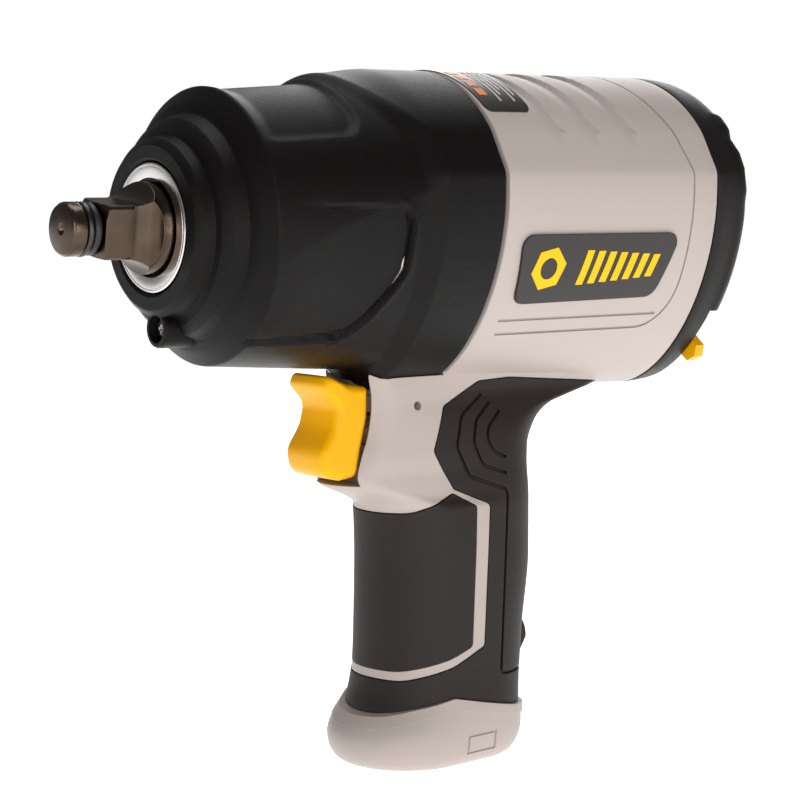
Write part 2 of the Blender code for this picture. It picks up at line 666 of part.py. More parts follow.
def make_bearing(name, start):
    end = start + BEARING_WIDTH
    mid = (start + end) / 2
    land = BEARING_BORE + 2.1
    piece(f"{name}_bearing_outer", tube(BEARING_RADIUS - 2.1, BEARING_RADIUS, start, end), STEEL)
    piece(f"{name}_bearing_inner", tube(BEARING_BORE + FIT, land, start, end), STEEL)
    pitch = (BEARING_RADIUS - 2.1 + land) / 2
    ring = tube(pitch - 0.7, pitch + 0.7, mid - 2.4, mid + 2.4, 16)
    for i in range(BALL_COUNT):
        ball = bmesh.new()
        bmesh.ops.create_icosphere(ball, subdivisions=1, radius=2.15)
        angle = math.tau * i / BALL_COUNT
        bmesh.ops.translate(ball, verts=ball.verts, vec=(mid, pitch * math.cos(angle), pitch * math.sin(angle)))
        ring = joined(ring, ball)
    piece(f"{name}_bearing_balls", ring, STEEL)


def make_motor():
    bearing_front = PLATE_FRONT_X + GAP
    bearing_rear = PLATE_REAR_X + 1.6 + GAP
    seat = BEARING_RADIUS + 0.1
    front = turned(
        [
            (PLATE_FRONT_X, seat),
            (PLATE_FRONT_X, MOTOR_RADIUS),
            (CYLINDER_X - GAP, MOTOR_RADIUS),
            (CYLINDER_X - GAP, BEARING_BORE + 1.4),
            (CYLINDER_X - GAP - 1.0, BEARING_BORE + 1.4),
            (CYLINDER_X - GAP - 1.0, seat),
        ],
        28,
    )
    piece("front_plate", front, STEEL)
    rear = turned(
        [
            (PLATE_REAR_X, BEARING_BORE + 1.4),
            (PLATE_REAR_X, MOTOR_RADIUS),
            (PLATE_REAR_BACK_X, MOTOR_RADIUS),
            (PLATE_REAR_BACK_X, seat),
            (PLATE_REAR_X + 1.5, seat),
            (PLATE_REAR_X + 1.5, BEARING_BORE + 1.4),
        ],
        28,
    )
    ports = [x_rod(2.4, PLATE_REAR_X - 1, PLATE_REAR_BACK_X + 1, y, -19.5, 16) for y in (-6.5, 6.5)]
    piece("rear_plate", cut(rear, *ports), STEEL)
    make_bearing("front", bearing_front)
    make_bearing("rear", bearing_rear)

    wall = x_rod(MOTOR_RADIUS, CYLINDER_X, CYLINDER_X + CYLINDER_LENGTH, 0, 0, 28)
    exhausts = [z_rod(2.6, -40, -15, CYLINDER_X + 10 + 9.5 * i, 0, 16) for i in range(3)]
    bore = x_rod(CYLINDER_BORE, CYLINDER_X - 1, CYLINDER_X + CYLINDER_LENGTH + 1, 0, -ECCENTRICITY, 28)
    piece("motor_cylinder", cut(wall, bore, *exhausts), STEEL)

    start, end = CYLINDER_X + GAP, CYLINDER_X + CYLINDER_LENGTH - GAP
    journal = BEARING_BORE
    profile = [
        (CAGE_REAR_X + 1.2, 0.0),
        (CAGE_REAR_X + 1.2, SHAFT_HEX / 2 - 0.4),
        (CAGE_BACK_X + 0.6, SHAFT_HEX / 2),
        (CAGE_BACK_X + 0.6, journal),
        (start, journal),
        (start, ROTOR_RADIUS),
        (end, ROTOR_RADIUS),
        (end, journal),
        (PLATE_REAR_BACK_X - 0.6, journal),
        (PLATE_REAR_BACK_X, journal - 0.6),
        (PLATE_REAR_BACK_X, 0.0),
    ]
    rotor = joined(turned(profile, 28), hexagon(SHAFT_HEX, CAGE_REAR_X + 1.2, CAGE_BACK_X + 2.0))
    slots = []
    for i in range(VANE_COUNT):
        slot = block((start - 1, -VANE_THICKNESS / 2 - 0.12, SLOT_FLOOR - 0.4), (end + 1, VANE_THICKNESS / 2 + 0.12, ROTOR_RADIUS + 2))
        slots.append(turned_about_x(slot, 360 * i / VANE_COUNT))
    piece("rotor", cut(rotor, *slots), STEEL)
    for i in range(VANE_COUNT):
        vane = block((start + 0.1, -VANE_THICKNESS / 2, SLOT_FLOOR), (end - 0.1, VANE_THICKNESS / 2, ROTOR_RADIUS - 0.1))
        piece(f"vane_{i + 1}", turned_about_x(vane, 360 * i / VANE_COUNT), FIBRE)


# ---------------------------------------------------------------- handle, trigger and air path
THROTTLE_RADIUS = 6.6
BUSH_END_X = POCKET_X + 6.5
CHAMBER_END_X = POCKET_X + 24.0
FEED_Y = 9.5
FEED_Z = -34.0
FEED_RADIUS = 2.4
VALVE_Z = -21.0  # axis of the reverse valve and of the dial
VALVE_RADIUS = 8.4
VALVE_X = MOTOR_BORE_END + 4.0
LEVER_X = COVER_BACK_X - 5.6
LEVER_TAB = (19.4, -36.2)
LEVER_THROW = 15.0
LEVER_ARM_HALF = 3.2
LEVER_POCKET_RADIUS = 13.8
BUSHING_RADIUS = 8.6
BUSHING_TOP_Z = CORE_BOTTOM_Z + 12.0


def bar(start, end, radius):
    reach = Vector(end) - Vector(start)
    return rod(radius, 0, reach.length, 12, along(reach.normalized(), start))


def cover_screw_places():
    return [(f"{level}_{side}", y, z) for level, width, z in COVER_SCREWS for side, y, z in mirrored(width, z)]


def grip_solid(outline, shrink, extra=0.0):
    """The skin of the handle between its outside and the depth given, inside an outline."""
    skin = cut(handle_solid(-extra), handle_solid(shrink))
    return common(skin, prism(outline, -LONG / 4, LONG / 4))


def below(z):
    return block((0, -LONG, z), (LONG * 2, LONG, LONG))


def make_housing():
    body = body_solid(HOUSING_X, HOUSING_BACK_X)
    whole = joined(body, handle_solid())
    whole = cut(whole, boot_outside(GAP, HOUSING_X))
    front_recess = grip_solid(front_panel_outline(GAP), RUBBER + GAP, 2.0)
    rear_recess = grip_solid(rear_grip_outline(GAP), RUBBER + GAP, 2.0)
    keep = body_solid(HOUSING_X - 1, HOUSING_BACK_X + 1, -GAP)
    whole = cut(whole, front_recess, cut(rear_recess, keep))
    pocket = trigger_path(-65.2, -36.0)
    cutters = [
        x_rod(MOTOR_RADIUS + 0.2, HOUSING_X - 5, MOTOR_BORE_END, 0, 0, 28),
        x_rod(VALVE_RADIUS + FIT, VALVE_X, HOUSING_BACK_X + 5, 0, VALVE_Z, 20),
        pocket,
        x_rod(THROTTLE_RADIUS, POCKET_X - 2, CHAMBER_END_X, 0, TRIGGER_Z, 20),
        z_rod(BUSHING_RADIUS + 0.2, CORE_BOTTOM_Z - 5, BUSHING_TOP_Z + 1.2, INLET_X),
        z_rod(5.4, BUSHING_TOP_Z, TRIGGER_Z - 2, INLET_X),
        z_rod(EXHAUST_RADIUS, CORE_BOTTOM_Z - 5, -26.0, EXHAUST_X),
        bar((CHAMBER_END_X - 3, 0, TRIGGER_Z), (CHAMBER_END_X + 4.5, FEED_Y, FEED_Z), FEED_RADIUS - 0.1),
        bar((CHAMBER_END_X + 4.5, FEED_Y, FEED_Z), (VALVE_X + 5, FEED_Y, FEED_Z), FEED_RADIUS),
        bar((VALVE_X + 4, FEED_Y, FEED_Z - 1), (VALVE_X + 4, 0, VALVE_Z), FEED_RADIUS - 0.2),
        x_rod(2.2, MOTOR_BORE_END - 2, VALVE_X + 2, 0, VALVE_Z + 1, 12),
    ]
    for _, y, z in case_screw_places():
        cutters.append(x_rod(SCREW_RADIUS + FIT, HOUSING_X - 5, CASE_BACK_X + 14.0, y, z, 12))
    for _, y, z in cover_screw_places():
        cutters.append(x_rod(SCREW_RADIUS + FIT, HOUSING_BACK_X - 10, HOUSING_BACK_X + 5, y, z, 12))
    for y in (-BASE_SCREW_Y, BASE_SCREW_Y):
        cutters.append(z_rod(SCREW_RADIUS + FIT, CORE_BOTTOM_Z - 5, CORE_BOTTOM_Z + 9, BASE_SCREW_X, y, 12))
    piece("motor_housing", cut(whole, *cutters), GREY)

    piece("front_grip", grip_solid(front_panel_outline(), RUBBER), RUBBER_BLACK)
    rear = cut(grip_solid(rear_grip_outline(), RUBBER), body_solid(HOUSING_X - 1, HOUSING_BACK_X + 1, -2 * GAP))
    piece("rear_grip", rear, RUBBER_BLACK)


def make_trigger():
    top = TRIGGER_TOP_Z
    outline = [
        (LIP_X - 6.2, top, 1.0),
        (LIP_X - 4.6, top - 3.8, 2.0),
        (LIP_X - 9.2, top - 16.4, 3.0),
        (LIP_X - 3.0, top - 23.4, 2.0),
        (TRIGGER_BACK_X - 2.6, top - 24.4, 1.5),
        (TRIGGER_BACK_X, top - 9.0, 1.0),
        (TRIGGER_BACK_X - 0.4, top, 1.0),
    ]
    solid = prism(rounded(outline, 1.0, 3), -TRIGGER_HALF_WIDTH, TRIGGER_HALF_WIDTH)
    bmesh.ops.bevel(
        solid,
        geom=[e for e in solid.edges if abs(e.verts[0].co.y - e.verts[1].co.y) < 0.01],
        offset=0.9,
        offset_type="OFFSET",
        segments=1,
        profile=0.5,
        affect="EDGES",
        material=-1,
        clamp_overlap=True,
    )
    solid = cut(solid, x_rod(2.2, TRIGGER_BACK_X - 7, TRIGGER_BACK_X + 3, 0, TRIGGER_Z, 16))
    piece("trigger", solid, YELLOW, (TRIGGER_BACK_X, 0, TRIGGER_Z))
    stem_end = BUSH_END_X + 3.6
    piece("trigger_rod", x_rod(2.0, TRIGGER_BACK_X - 6.6, stem_end, 0, TRIGGER_Z, 16), STEEL)
    axis = Matrix.Translation((0, 0, TRIGGER_Z))
    piece("trigger_bush", tube(2.0 + FIT, THROTTLE_RADIUS - 0.1, POCKET_X + GAP, BUSH_END_X, 24, axis), BRONZE)
    head = stem_end + GAP
    valve = [
        (head, 0.0),
        (head, 4.6),
        (head + 1.6, 5.4),
        (head + 3.0, 5.4),
        (head + 3.0, 1.8),
        (head + 6.0, 1.8),
        (head + 6.0, 0.0),
    ]
    piece("throttle_valve", turned(valve, 24, axis), BRONZE)
    make_spring("throttle_spring", head + 3.3, CHAMBER_END_X - GAP, 3.9, 0.5, 4.0, TRIGGER_Z)


def make_spring(name, start, end, radius, wire, turns, z):
    """Round-wire compression spring along X."""
    steps = int(turns * 10)
    sides = 5
    loops = []
    for i in range(steps + 1):
        share = i / steps
        angle = math.tau * turns * share
        centre = Vector((start + wire + (end - start - 2 * wire) * share, radius * math.cos(angle), radius * math.sin(angle)))
        out = Vector((0, math.cos(angle), math.sin(angle)))
        rise = Vector(((end - start) / turns / math.tau, -radius * math.sin(angle), radius * math.cos(angle))).normalized()
        side = rise.cross(out)
        ring = [centre + wire * (math.cos(math.tau * k / sides) * out + math.sin(math.tau * k / sides) * side) for k in range(sides)]
        loops.append([(p.x, p.y, p.z + z) for p in ring])
    piece(name, loft(loops), STEEL)


def make_air_path():
    core_bottom = CORE_BOTTOM_Z - GAP
    base_bottom = -AXIS_HEIGHT
    wide = HANDLE_HALF_WIDTH
    rows = [
        (core_bottom, GRIP_FRONT - 3.6, GRIP_BACK - 3.0, wide + 0.9, wide + 0.7),
        (core_bottom - 3.8, GRIP_FRONT - 6.7, GRIP_BACK - 2.6, wide + 1.6, wide + 1.0),
        (core_bottom - 8.0, GRIP_FRONT - 8.6, GRIP_BACK - 2.6, wide + 2.0, wide + 1.1),
        (base_bottom + 3.4, GRIP_FRONT - 8.2, GRIP_BACK - 3.4, wide + 1.6, wide + 0.8),
        (base_bottom + 1.0, GRIP_FRONT - 6.6, GRIP_BACK - 4.6, wide + 0.6, wide),
        (base_bottom, GRIP_FRONT - 5.2, GRIP_BACK - 5.8, wide - 0.6, wide - 1.0),
    ]
    solid = loft([capsule(z, front, back, fr, br) for z, front, back, fr, br in rows])
    hexagonal = INLET_HEX / math.sqrt(3)
    cutters = [
        z_rod(BUSHING_RADIUS + GAP, base_bottom - 5, CORE_BOTTOM_Z + 5, INLET_X),
        z_rod(hexagonal + GAP, base_bottom - 5, base_bottom + 9.0, INLET_X),
        z_rod(EXHAUST_RADIUS, base_bottom - 5, CORE_BOTTOM_Z + 5, EXHAUST_X + 1),
    ]
    for y in (-BASE_SCREW_Y, BASE_SCREW_Y):
        cutters.append(z_rod(SCREW_RADIUS + FIT, base_bottom - 5, CORE_BOTTOM_Z + 5, BASE_SCREW_X, y, 12))
        cutters.append(z_rod(SCREW_HEAD_RADIUS + GAP, base_bottom - 5, base_bottom + 4.0, BASE_SCREW_X, y, 16))
    piece("handle_base", cut(solid, *cutters), GREY)
    for side, y in (("left", -BASE_SCREW_Y), ("right", BASE_SCREW_Y)):
        screw(f"base_screw_{side}", (BASE_SCREW_X, y, base_bottom + 3.7), (0, 0, 1), 18.0)

    nut = prism(arc((INLET_X, 0), hexagonal, 30, 330, 5), base_bottom + 1.2, base_bottom + 8.7, "XY")
    barrel = z_rod(BUSHING_RADIUS, base_bottom + 5, BUSHING_TOP_Z, INLET_X)
    bushing = cut(joined(nut, barrel), z_rod(INLET_RADIUS, base_bottom - 1, BUSHING_TOP_Z + 2, INLET_X))
    piece("inlet_bushing", bushing, STEEL)
    dome = [(0, 0.0), (0, INLET_RADIUS - 1.0), (6.0, 4.0), (8.5, 0.0)]
    axis = Matrix.Translation((INLET_X, 0, BUSHING_TOP_Z + GAP)) @ along((0, 0, 1), (0, 0, 0))
    piece("inlet_screen", turned(dome, 24, axis), STEEL)
    piece("exhaust_muffler", z_rod(EXHAUST_RADIUS - GAP, CORE_BOTTOM_Z + 1, CORE_BOTTOM_Z + 26, EXHAUST_X), FELT)


# ---------------------------------------------------------------- rear cover, reverse valve and dial
DIAL_RADIUS = 9.0


def arm_outline(reach):
    """Half a lever arm and its mirror, as distance from the hub and distance across."""
    half = LEVER_ARM_HALF
    root = DIAL_RADIUS + 1.5
    return (root, -half), (reach, 0.4 - half), (reach + 1.4, 0.0), (reach, half - 0.4), (root, half)


def sector(radius, low, high, start, end):
    """A slice of a disc about the valve's axis, the angles in degrees."""
    rim = arc((0, VALVE_Z), radius, low, high, 4)
    return prism([(0, VALVE_Z), *rim], start, end, "YZ")


def make_cover():
    depth = BODY_DEPTH_BACK
    solid = loft(
        [
            body_loop(COVER_X, depth),
            body_loop(COVER_BACK_X - 3.0, depth - 1.6, 0.6),
            body_loop(COVER_BACK_X, depth - 3.0, 2.4),
        ]
    )
    tab_angle = math.degrees(math.atan2(LEVER_TAB[1] - VALVE_Z, -LEVER_TAB[0])) % 360
    half = LEVER_THROW + math.degrees(math.asin((LEVER_ARM_HALF + GAP) / LEVER_POCKET_RADIUS)) + 0.8
    cutters = [
        x_rod(LEVER_POCKET_RADIUS, LEVER_X - GAP, COVER_BACK_X + 5, 0, VALVE_Z, 28),
        sector(60, tab_angle - half, tab_angle + half, LEVER_X - GAP, COVER_BACK_X + 5),
        sector(60, 540 - tab_angle - half, 540 - tab_angle + half, LEVER_X - GAP, COVER_BACK_X + 5),
        x_rod(VALVE_RADIUS + FIT, COVER_X - 5, LEVER_X + 1, 0, VALVE_Z, 20),
    ]
    for _, y, z in cover_screw_places():
        cutters.append(x_rod(SCREW_RADIUS + FIT, COVER_X - 5, COVER_BACK_X + 5, y, z, 12))
        cutters.append(x_rod(SCREW_HEAD_RADIUS + GAP, COVER_BACK_X - 6.5, COVER_BACK_X + 5, y, z, 16))
    piece("rear_cover", cut(solid, *cutters), BLACK)
    for place, y, z in cover_screw_places():
        screw(f"cover_screw_{place}", (COVER_BACK_X - 6.2, y, z), (-1, 0, 0), 15.0)

    valve = turned(
        [
            (VALVE_X + GAP, 0.0),
            (VALVE_X + GAP, VALVE_RADIUS - 0.4),
            (VALVE_X + GAP + 0.4, VALVE_RADIUS),
            (LEVER_X - GAP, VALVE_RADIUS),
            (LEVER_X - GAP, 4.2),
            (LEVER_X - GAP - 8.0, 4.2),
            (LEVER_X - GAP - 8.0, 0.0),
        ],
        20,
        Matrix.Translation((0, 0, VALVE_Z)),
    )
    valve = cut(valve, bar((VALVE_X + 4, 0, VALVE_Z), (VALVE_X + 4, 30, VALVE_Z - 38), FEED_RADIUS - 0.4))
    piece("reverse_valve", valve, ALUMINIUM, (VALVE_X, 0, VALVE_Z))

    steps = [
        (LEVER_X, 5.2),
        (LEVER_X, DIAL_RADIUS + 4.2),
        (LEVER_X + 3.4, DIAL_RADIUS + 4.2),
        (LEVER_X + 3.4, DIAL_RADIUS + 0.4),
        (LEVER_X + 1.4, DIAL_RADIUS + 0.4),
        (LEVER_X + 1.4, 5.2),
    ]
    ring = turned(steps, 32, Matrix.Translation((0, 0, VALVE_Z)))
    for side in (-1, 1):
        angle = math.atan2(LEVER_TAB[1] - VALVE_Z, side * LEVER_TAB[0])
        out = Vector((math.cos(angle), math.sin(angle)))
        across = Vector((-out.y, out.x))
        hub = Vector((0, VALVE_Z))
        reach = (Vector((side * LEVER_TAB[0], LEVER_TAB[1])) - hub).length
        points = [hub + out * r + across * w for r, w in arm_outline(reach)]
        arm = prism([tuple(p) for p in points], LEVER_X + 0.2, LEVER_X + 3.2, "YZ")
        ring = joined(ring, arm)
    piece("direction_lever", ring, YELLOW, (LEVER_X, 0, VALVE_Z))

    knob = turned(
        [
            (LEVER_X - 7.6, 0.0),
            (LEVER_X - 7.6, 3.9),
            (LEVER_X + 1.7, 3.9),
            (LEVER_X + 1.7, DIAL_RADIUS),
            (COVER_BACK_X - 0.6, DIAL_RADIUS - 0.3),
            (COVER_BACK_X, DIAL_RADIUS - 1.0),
            (COVER_BACK_X, 0.0),
        ],
        28,
        Matrix.Translation((0, 0, VALVE_Z)),
    )
    grips = [x_rod(1.5, LEVER_X + 2.6, COVER_BACK_X + 1, *dial_point(60 * i), 10) for i in range(6)]
    slot = block((COVER_BACK_X - 1.2, -0.9, VALVE_Z - 6.5), (COVER_BACK_X + 1, 0.9, VALVE_Z + 6.5))
    piece("regulator_dial", cut(knob, slot, *grips), BLACK, (LEVER_X, 0, VALVE_Z))


def dial_point(degrees):
    angle = math.radians(degrees + 30)
    return (DIAL_RADIUS + 0.6) * math.cos(angle), VALVE_Z + (DIAL_RADIUS + 0.6) * math.sin(angle)


# ---------------------------------------------------------------- badges and rating label
BADGE = (5.0, 58.5)  # start and end, back from the front of the housing
BADGE_Z = (-19.6, -2.2)
LABEL = (0.8, 15.0)


def body_skin(lift, thick):
    """A layer outside the housing."""
    ends = (HOUSING_X + 0.1, HOUSING_BACK_X - 0.1)
    outer = loft([body_loop(x, depth_at(x) + lift + thick, -(lift + thick)) for x in ends])
    longer = (HOUSING_X - 1, HOUSING_BACK_X + 1)
    return cut(outer, loft([body_loop(x, depth_at(x) + lift, -lift) for x in longer]))


def make_badges():
    low, high = BADGE_Z
    start, end = HOUSING_X + BADGE[0], HOUSING_X + BADGE[1]
    outline = rounded([(start + 2.0, low), (end - 2.5, low), (end, high), (start, high)], 3.0)
    for side, reach in (("left", (-LONG, -5)), ("right", (5, LONG))):
        plate = common(body_skin(GAP, 1.0), prism(outline, *reach))
        piece(f"badge_{side}", plate, BLACK)
    start, end = HOUSING_X + LABEL[0], HOUSING_X + LABEL[1]
    window = rounded([(start, -26.5), (end, -26.5), (end, 26.5), (start, 26.5)], 1.5)
    piece("rating_label", common(body_skin(GAP, 0.4), prism(window, 20.0, LONG, "XY")), BLACK)


make_front_end()
make_mechanism()
make_motor()
make_housing()
make_trigger()
make_air_path()
make_cover()
make_badges()
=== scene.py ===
import math

import bmesh
import bpy
from mathutils import Matrix, Vector


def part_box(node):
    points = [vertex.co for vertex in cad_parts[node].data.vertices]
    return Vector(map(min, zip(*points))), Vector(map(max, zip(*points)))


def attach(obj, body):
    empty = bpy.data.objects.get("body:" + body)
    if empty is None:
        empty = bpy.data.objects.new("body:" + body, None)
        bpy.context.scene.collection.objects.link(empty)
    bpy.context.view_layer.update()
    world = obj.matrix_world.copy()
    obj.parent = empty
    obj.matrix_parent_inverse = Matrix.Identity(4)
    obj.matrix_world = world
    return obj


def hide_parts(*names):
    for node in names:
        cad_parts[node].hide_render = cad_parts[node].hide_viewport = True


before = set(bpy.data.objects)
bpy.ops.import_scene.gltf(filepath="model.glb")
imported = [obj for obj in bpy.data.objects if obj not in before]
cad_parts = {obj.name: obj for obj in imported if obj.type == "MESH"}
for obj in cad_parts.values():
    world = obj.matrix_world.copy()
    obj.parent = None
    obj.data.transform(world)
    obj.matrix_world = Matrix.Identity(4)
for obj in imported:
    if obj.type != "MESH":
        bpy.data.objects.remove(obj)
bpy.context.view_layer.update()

# ---------------------------------------------------------------- camera, floor and studio light
# The tool stands on a pale floor under four soft boxes, seen from in front of its left side.
# Shapes below are drawn in millimetres from the tip of the drive: x back along the drive axis, z up from it.
TIP = Vector((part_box("anvil")[0][0], 0.0, (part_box("anvil")[0][2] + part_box("anvil")[1][2]) / 2))
TO_ROW = Matrix.Translation(TIP) @ Matrix.Diagonal((0.001, 0.001, 0.001, 1.0))

lens = bpy.data.cameras.new("camera")
lens.lens = 101.8
lens.clip_start = 0.01
camera = bpy.data.objects.new("camera", lens)
camera.matrix_world = (
    Matrix.Translation(TO_ROW @ Vector((-258.75, -455.74, 13.28)))
    @ Vector((0.6138, 0.7830, -0.1007)).to_track_quat("-Z", "Y").to_matrix().to_4x4()
)
bpy.context.scene.collection.objects.link(camera)
bpy.context.scene.camera = camera

floor_mesh = bmesh.new()
bmesh.ops.create_grid(floor_mesh, x_segments=1, y_segments=1, size=6.0)
floor_data = bpy.data.meshes.new("floor")
floor_mesh.to_mesh(floor_data)
floor_mesh.free()
floor = bpy.data.objects.new("floor", floor_data)
floor.location.z = -0.0002
bpy.context.scene.collection.objects.link(floor)
floor_finish = bpy.data.materials.new("pale_floor")
floor_finish.use_nodes = True
floor_shader = floor_finish.node_tree.nodes["Principled BSDF"]
floor_shader.inputs["Base Color"].default_value = (0.93, 0.93, 0.93, 1)
floor_shader.inputs["Roughness"].default_value = 0.7
floor_shader.inputs["Emission Color"].default_value = (1.0, 1.0, 1.0, 1)
floor_shader.inputs["Emission Strength"].default_value = 0.92
floor_data.materials.append(floor_finish)

sky = bpy.data.worlds.new("studio")
sky.use_nodes = True
sky_nodes, sky_links = sky.node_tree.nodes, sky.node_tree.links
sky_nodes["Background"].inputs["Color"].default_value = (1.0, 1.0, 1.0, 1)
seen = sky_nodes.new("ShaderNodeLightPath")
level = sky_nodes.new("ShaderNodeMapRange")
level.inputs["To Min"].default_value = 0.16  # what lights the tool
level.inputs["To Max"].default_value = 1.0  # what the lens sees behind it
sky_links.new(seen.outputs["Is Camera Ray"], level.inputs["Value"])
sky_links.new(level.outputs["Result"], sky_nodes["Background"].inputs["Strength"])
bpy.context.scene.world = sky
bpy.context.scene.view_settings.view_transform = "Standard"


def softbox(name, place, aim, width, height, power, colour=(1.0, 1.0, 1.0)):
    light = bpy.data.lights.new(name, "AREA")
    light.shape = "RECTANGLE"
    light.size = width
    light.size_y = height
    light.energy = power
    light.color = colour
    lamp = bpy.data.objects.new(name, light)
    facing = (Vector(aim) - Vector(place)).to_track_quat("-Z", "Y").to_matrix().to_4x4()
    lamp.matrix_world = Matrix.Translation(place) @ facing
    bpy.context.scene.collection.objects.link(lamp)


softbox("key_softbox", (-0.10, -1.15, 0.22), (0.0, 0.0, 0.10), 1.0, 0.5, 4.0, (1.0, 0.975, 0.95))
softbox("nose_softbox", (-0.80, -0.80, 0.30), (-0.03, 0.0, 0.12), 0.12, 0.6, 2.0)
softbox("top_softbox", (0.10, 0.15, 1.0), (0.0, 0.0, 0.12), 0.6, 0.5, 2.7)
softbox("back_softbox", (0.7, 0.6, 0.5), (0.0, 0.0, 0.1), 0.5, 0.6, 3.0)


# ---------------------------------------------------------------- nose boot
# The black glass-filled nylon boot over the hammer case: a stepped nose, a round barrel with shallow recesses
# and a flared band that takes the body's section. It is moulded in one piece and held by one screw below.
def grain_and_edge_highlight_group():
    """Moulded surface: fine pitted grain, broad unevenness and a mask of convex edges for a painted
    highlight.
    """
    group = bpy.data.node_groups.new("moulded_grain_and_edge_highlight", "ShaderNodeTree")
    for label in ("Size", "Depth", "Round"):
        group.interface.new_socket(label, in_out="INPUT", socket_type="NodeSocketFloat")
    for label, kind in (
        ("Normal", "NodeSocketVector"),
        ("Uneven", "NodeSocketFloat"),
        ("Painted Edge Highlight", "NodeSocketFloat"),
        ("Fine", "NodeSocketFloat"),
    ):
        group.interface.new_socket(label, in_out="OUTPUT", socket_type=kind)
    nodes, links = group.nodes, group.links
    taken = nodes.new("NodeGroupInput")
    given = nodes.new("NodeGroupOutput")
    where = nodes.new("ShaderNodeTexCoord")
    pits = nodes.new("ShaderNodeTexNoise")
    pits.inputs["Detail"].default_value = 3.0
    pits.inputs["Roughness"].default_value = 0.62
    broad = nodes.new("ShaderNodeTexNoise")
    broad.inputs["Scale"].default_value = 34.0
    broad.inputs["Detail"].default_value = 4.0
    soft = nodes.new("ShaderNodeBevel")
    soft.samples = 6
    bump = nodes.new("ShaderNodeBump")
    bump.inputs["Strength"].default_value = 1.0
    shape = nodes.new("ShaderNodeNewGeometry")
    # painted highlight: convex edges, found by pointiness, are later mixed towards a lighter colour
    painted_edge_highlight = nodes.new("ShaderNodeMapRange")
    painted_edge_highlight.inputs["From Min"].default_value = 0.53
    painted_edge_highlight.inputs["From Max"].default_value = 0.62
    links.new(where.outputs["Object"], pits.inputs["Vector"])
    links.new(where.outputs["Object"], broad.inputs["Vector"])
    links.new(taken.outputs["Size"], pits.inputs["Scale"])
    links.new(taken.outputs["Round"], soft.inputs["Radius"])
    links.new(soft.outputs["Normal"], bump.inputs["Normal"])
    links.new(pits.outputs["Fac"], bump.inputs["Height"])
    links.new(taken.outputs["Depth"], bump.inputs["Distance"])
    links.new(shape.outputs["Pointiness"], painted_edge_highlight.inputs["Value"])
    links.new(bump.outputs["Normal"], given.inputs["Normal"])
    links.new(broad.outputs["Fac"], given.inputs["Uneven"])
    links.new(painted_edge_highlight.outputs["Result"], given.inputs["Painted Edge Highlight"])
    links.new(pits.outputs["Fac"], given.inputs["Fine"])
    return group


MOULDED_GRAIN_AND_EDGE_HIGHLIGHT = grain_and_edge_highlight_group()


def moulded(name, colour, roughness, size, depth, rounding=0.0004, shift=0.10, edge_highlight_lift=0.35, gloss=0.5):
    """A moulded or cast finish: colour and roughness drift a little, convex edges carry a painted highlight
    in a lighter colour.
    """
    made = bpy.data.materials.new(name)
    made.use_nodes = True
    made.diffuse_color = (*colour, 1)
    nodes, links = made.node_tree.nodes, made.node_tree.links
    shader = nodes["Principled BSDF"]
    shader.inputs["Specular IOR Level"].default_value = gloss
    grain = nodes.new("ShaderNodeGroup")
    grain.node_tree = MOULDED_GRAIN_AND_EDGE_HIGHLIGHT
    grain.inputs["Size"].default_value = size
    grain.inputs["Depth"].default_value = depth
    grain.inputs["Round"].default_value = rounding
    drift = nodes.new("ShaderNodeMix")
    drift.data_type = "RGBA"
    drift.inputs["A"].default_value = (*[c * (1 - shift) for c in colour], 1)
    drift.inputs["B"].default_value = (*[min(1.0, c * (1 + shift)) for c in colour], 1)
    # painted highlight: convex edges mixed towards a lighter colour, as if they caught the light
    edge = nodes.new("ShaderNodeMix")
    edge.data_type = "RGBA"
    edge.inputs["B"].default_value = (*[min(1.0, c + edge_highlight_lift * (0.35 + c) * 0.5) for c in colour], 1)
    part = nodes.new("ShaderNodeMath")
    part.operation = "MULTIPLY"
    part.inputs[1].default_value = 0.35
    polish = nodes.new("ShaderNodeMapRange")
    polish.inputs["To Min"].default_value = roughness - 0.06
    polish.inputs["To Max"].default_value = roughness + 0.08
    links.new(grain.outputs["Uneven"], drift.inputs["Factor"])
    links.new(drift.outputs["Result"], edge.inputs["A"])
    links.new(grain.outputs["Painted Edge Highlight"], part.inputs[0])
    links.new(part.outputs["Value"], edge.inputs["Factor"])
    links.new(edge.outputs["Result"], shader.inputs["Base Color"])
    links.new(grain.outputs["Fine"], polish.inputs["Value"])
    links.new(polish.outputs["Result"], shader.inputs["Roughness"])
    links.new(grain.outputs["Normal"], shader.inputs["Normal"])
    return made


BODY_TOP = 38.7  # radius of the body's top arc
FACET_TOP = 37.0  # degrees above level where the arc meets the flat facet
FACET_LOW = 13.0  # height of the facet's lower edge
BODY_HALF = 36.6  # half the width
SIDE_TOP = 8.0  # height where the side starts to curve in
ARC_POINTS = 32
HOUSING_START, HOUSING_END = 104.0, 176.2
DEPTH_FRONT, DEPTH_GAIN = 42.0, 3.0  # how far the belly hangs below the axis, and what it gains to the rear


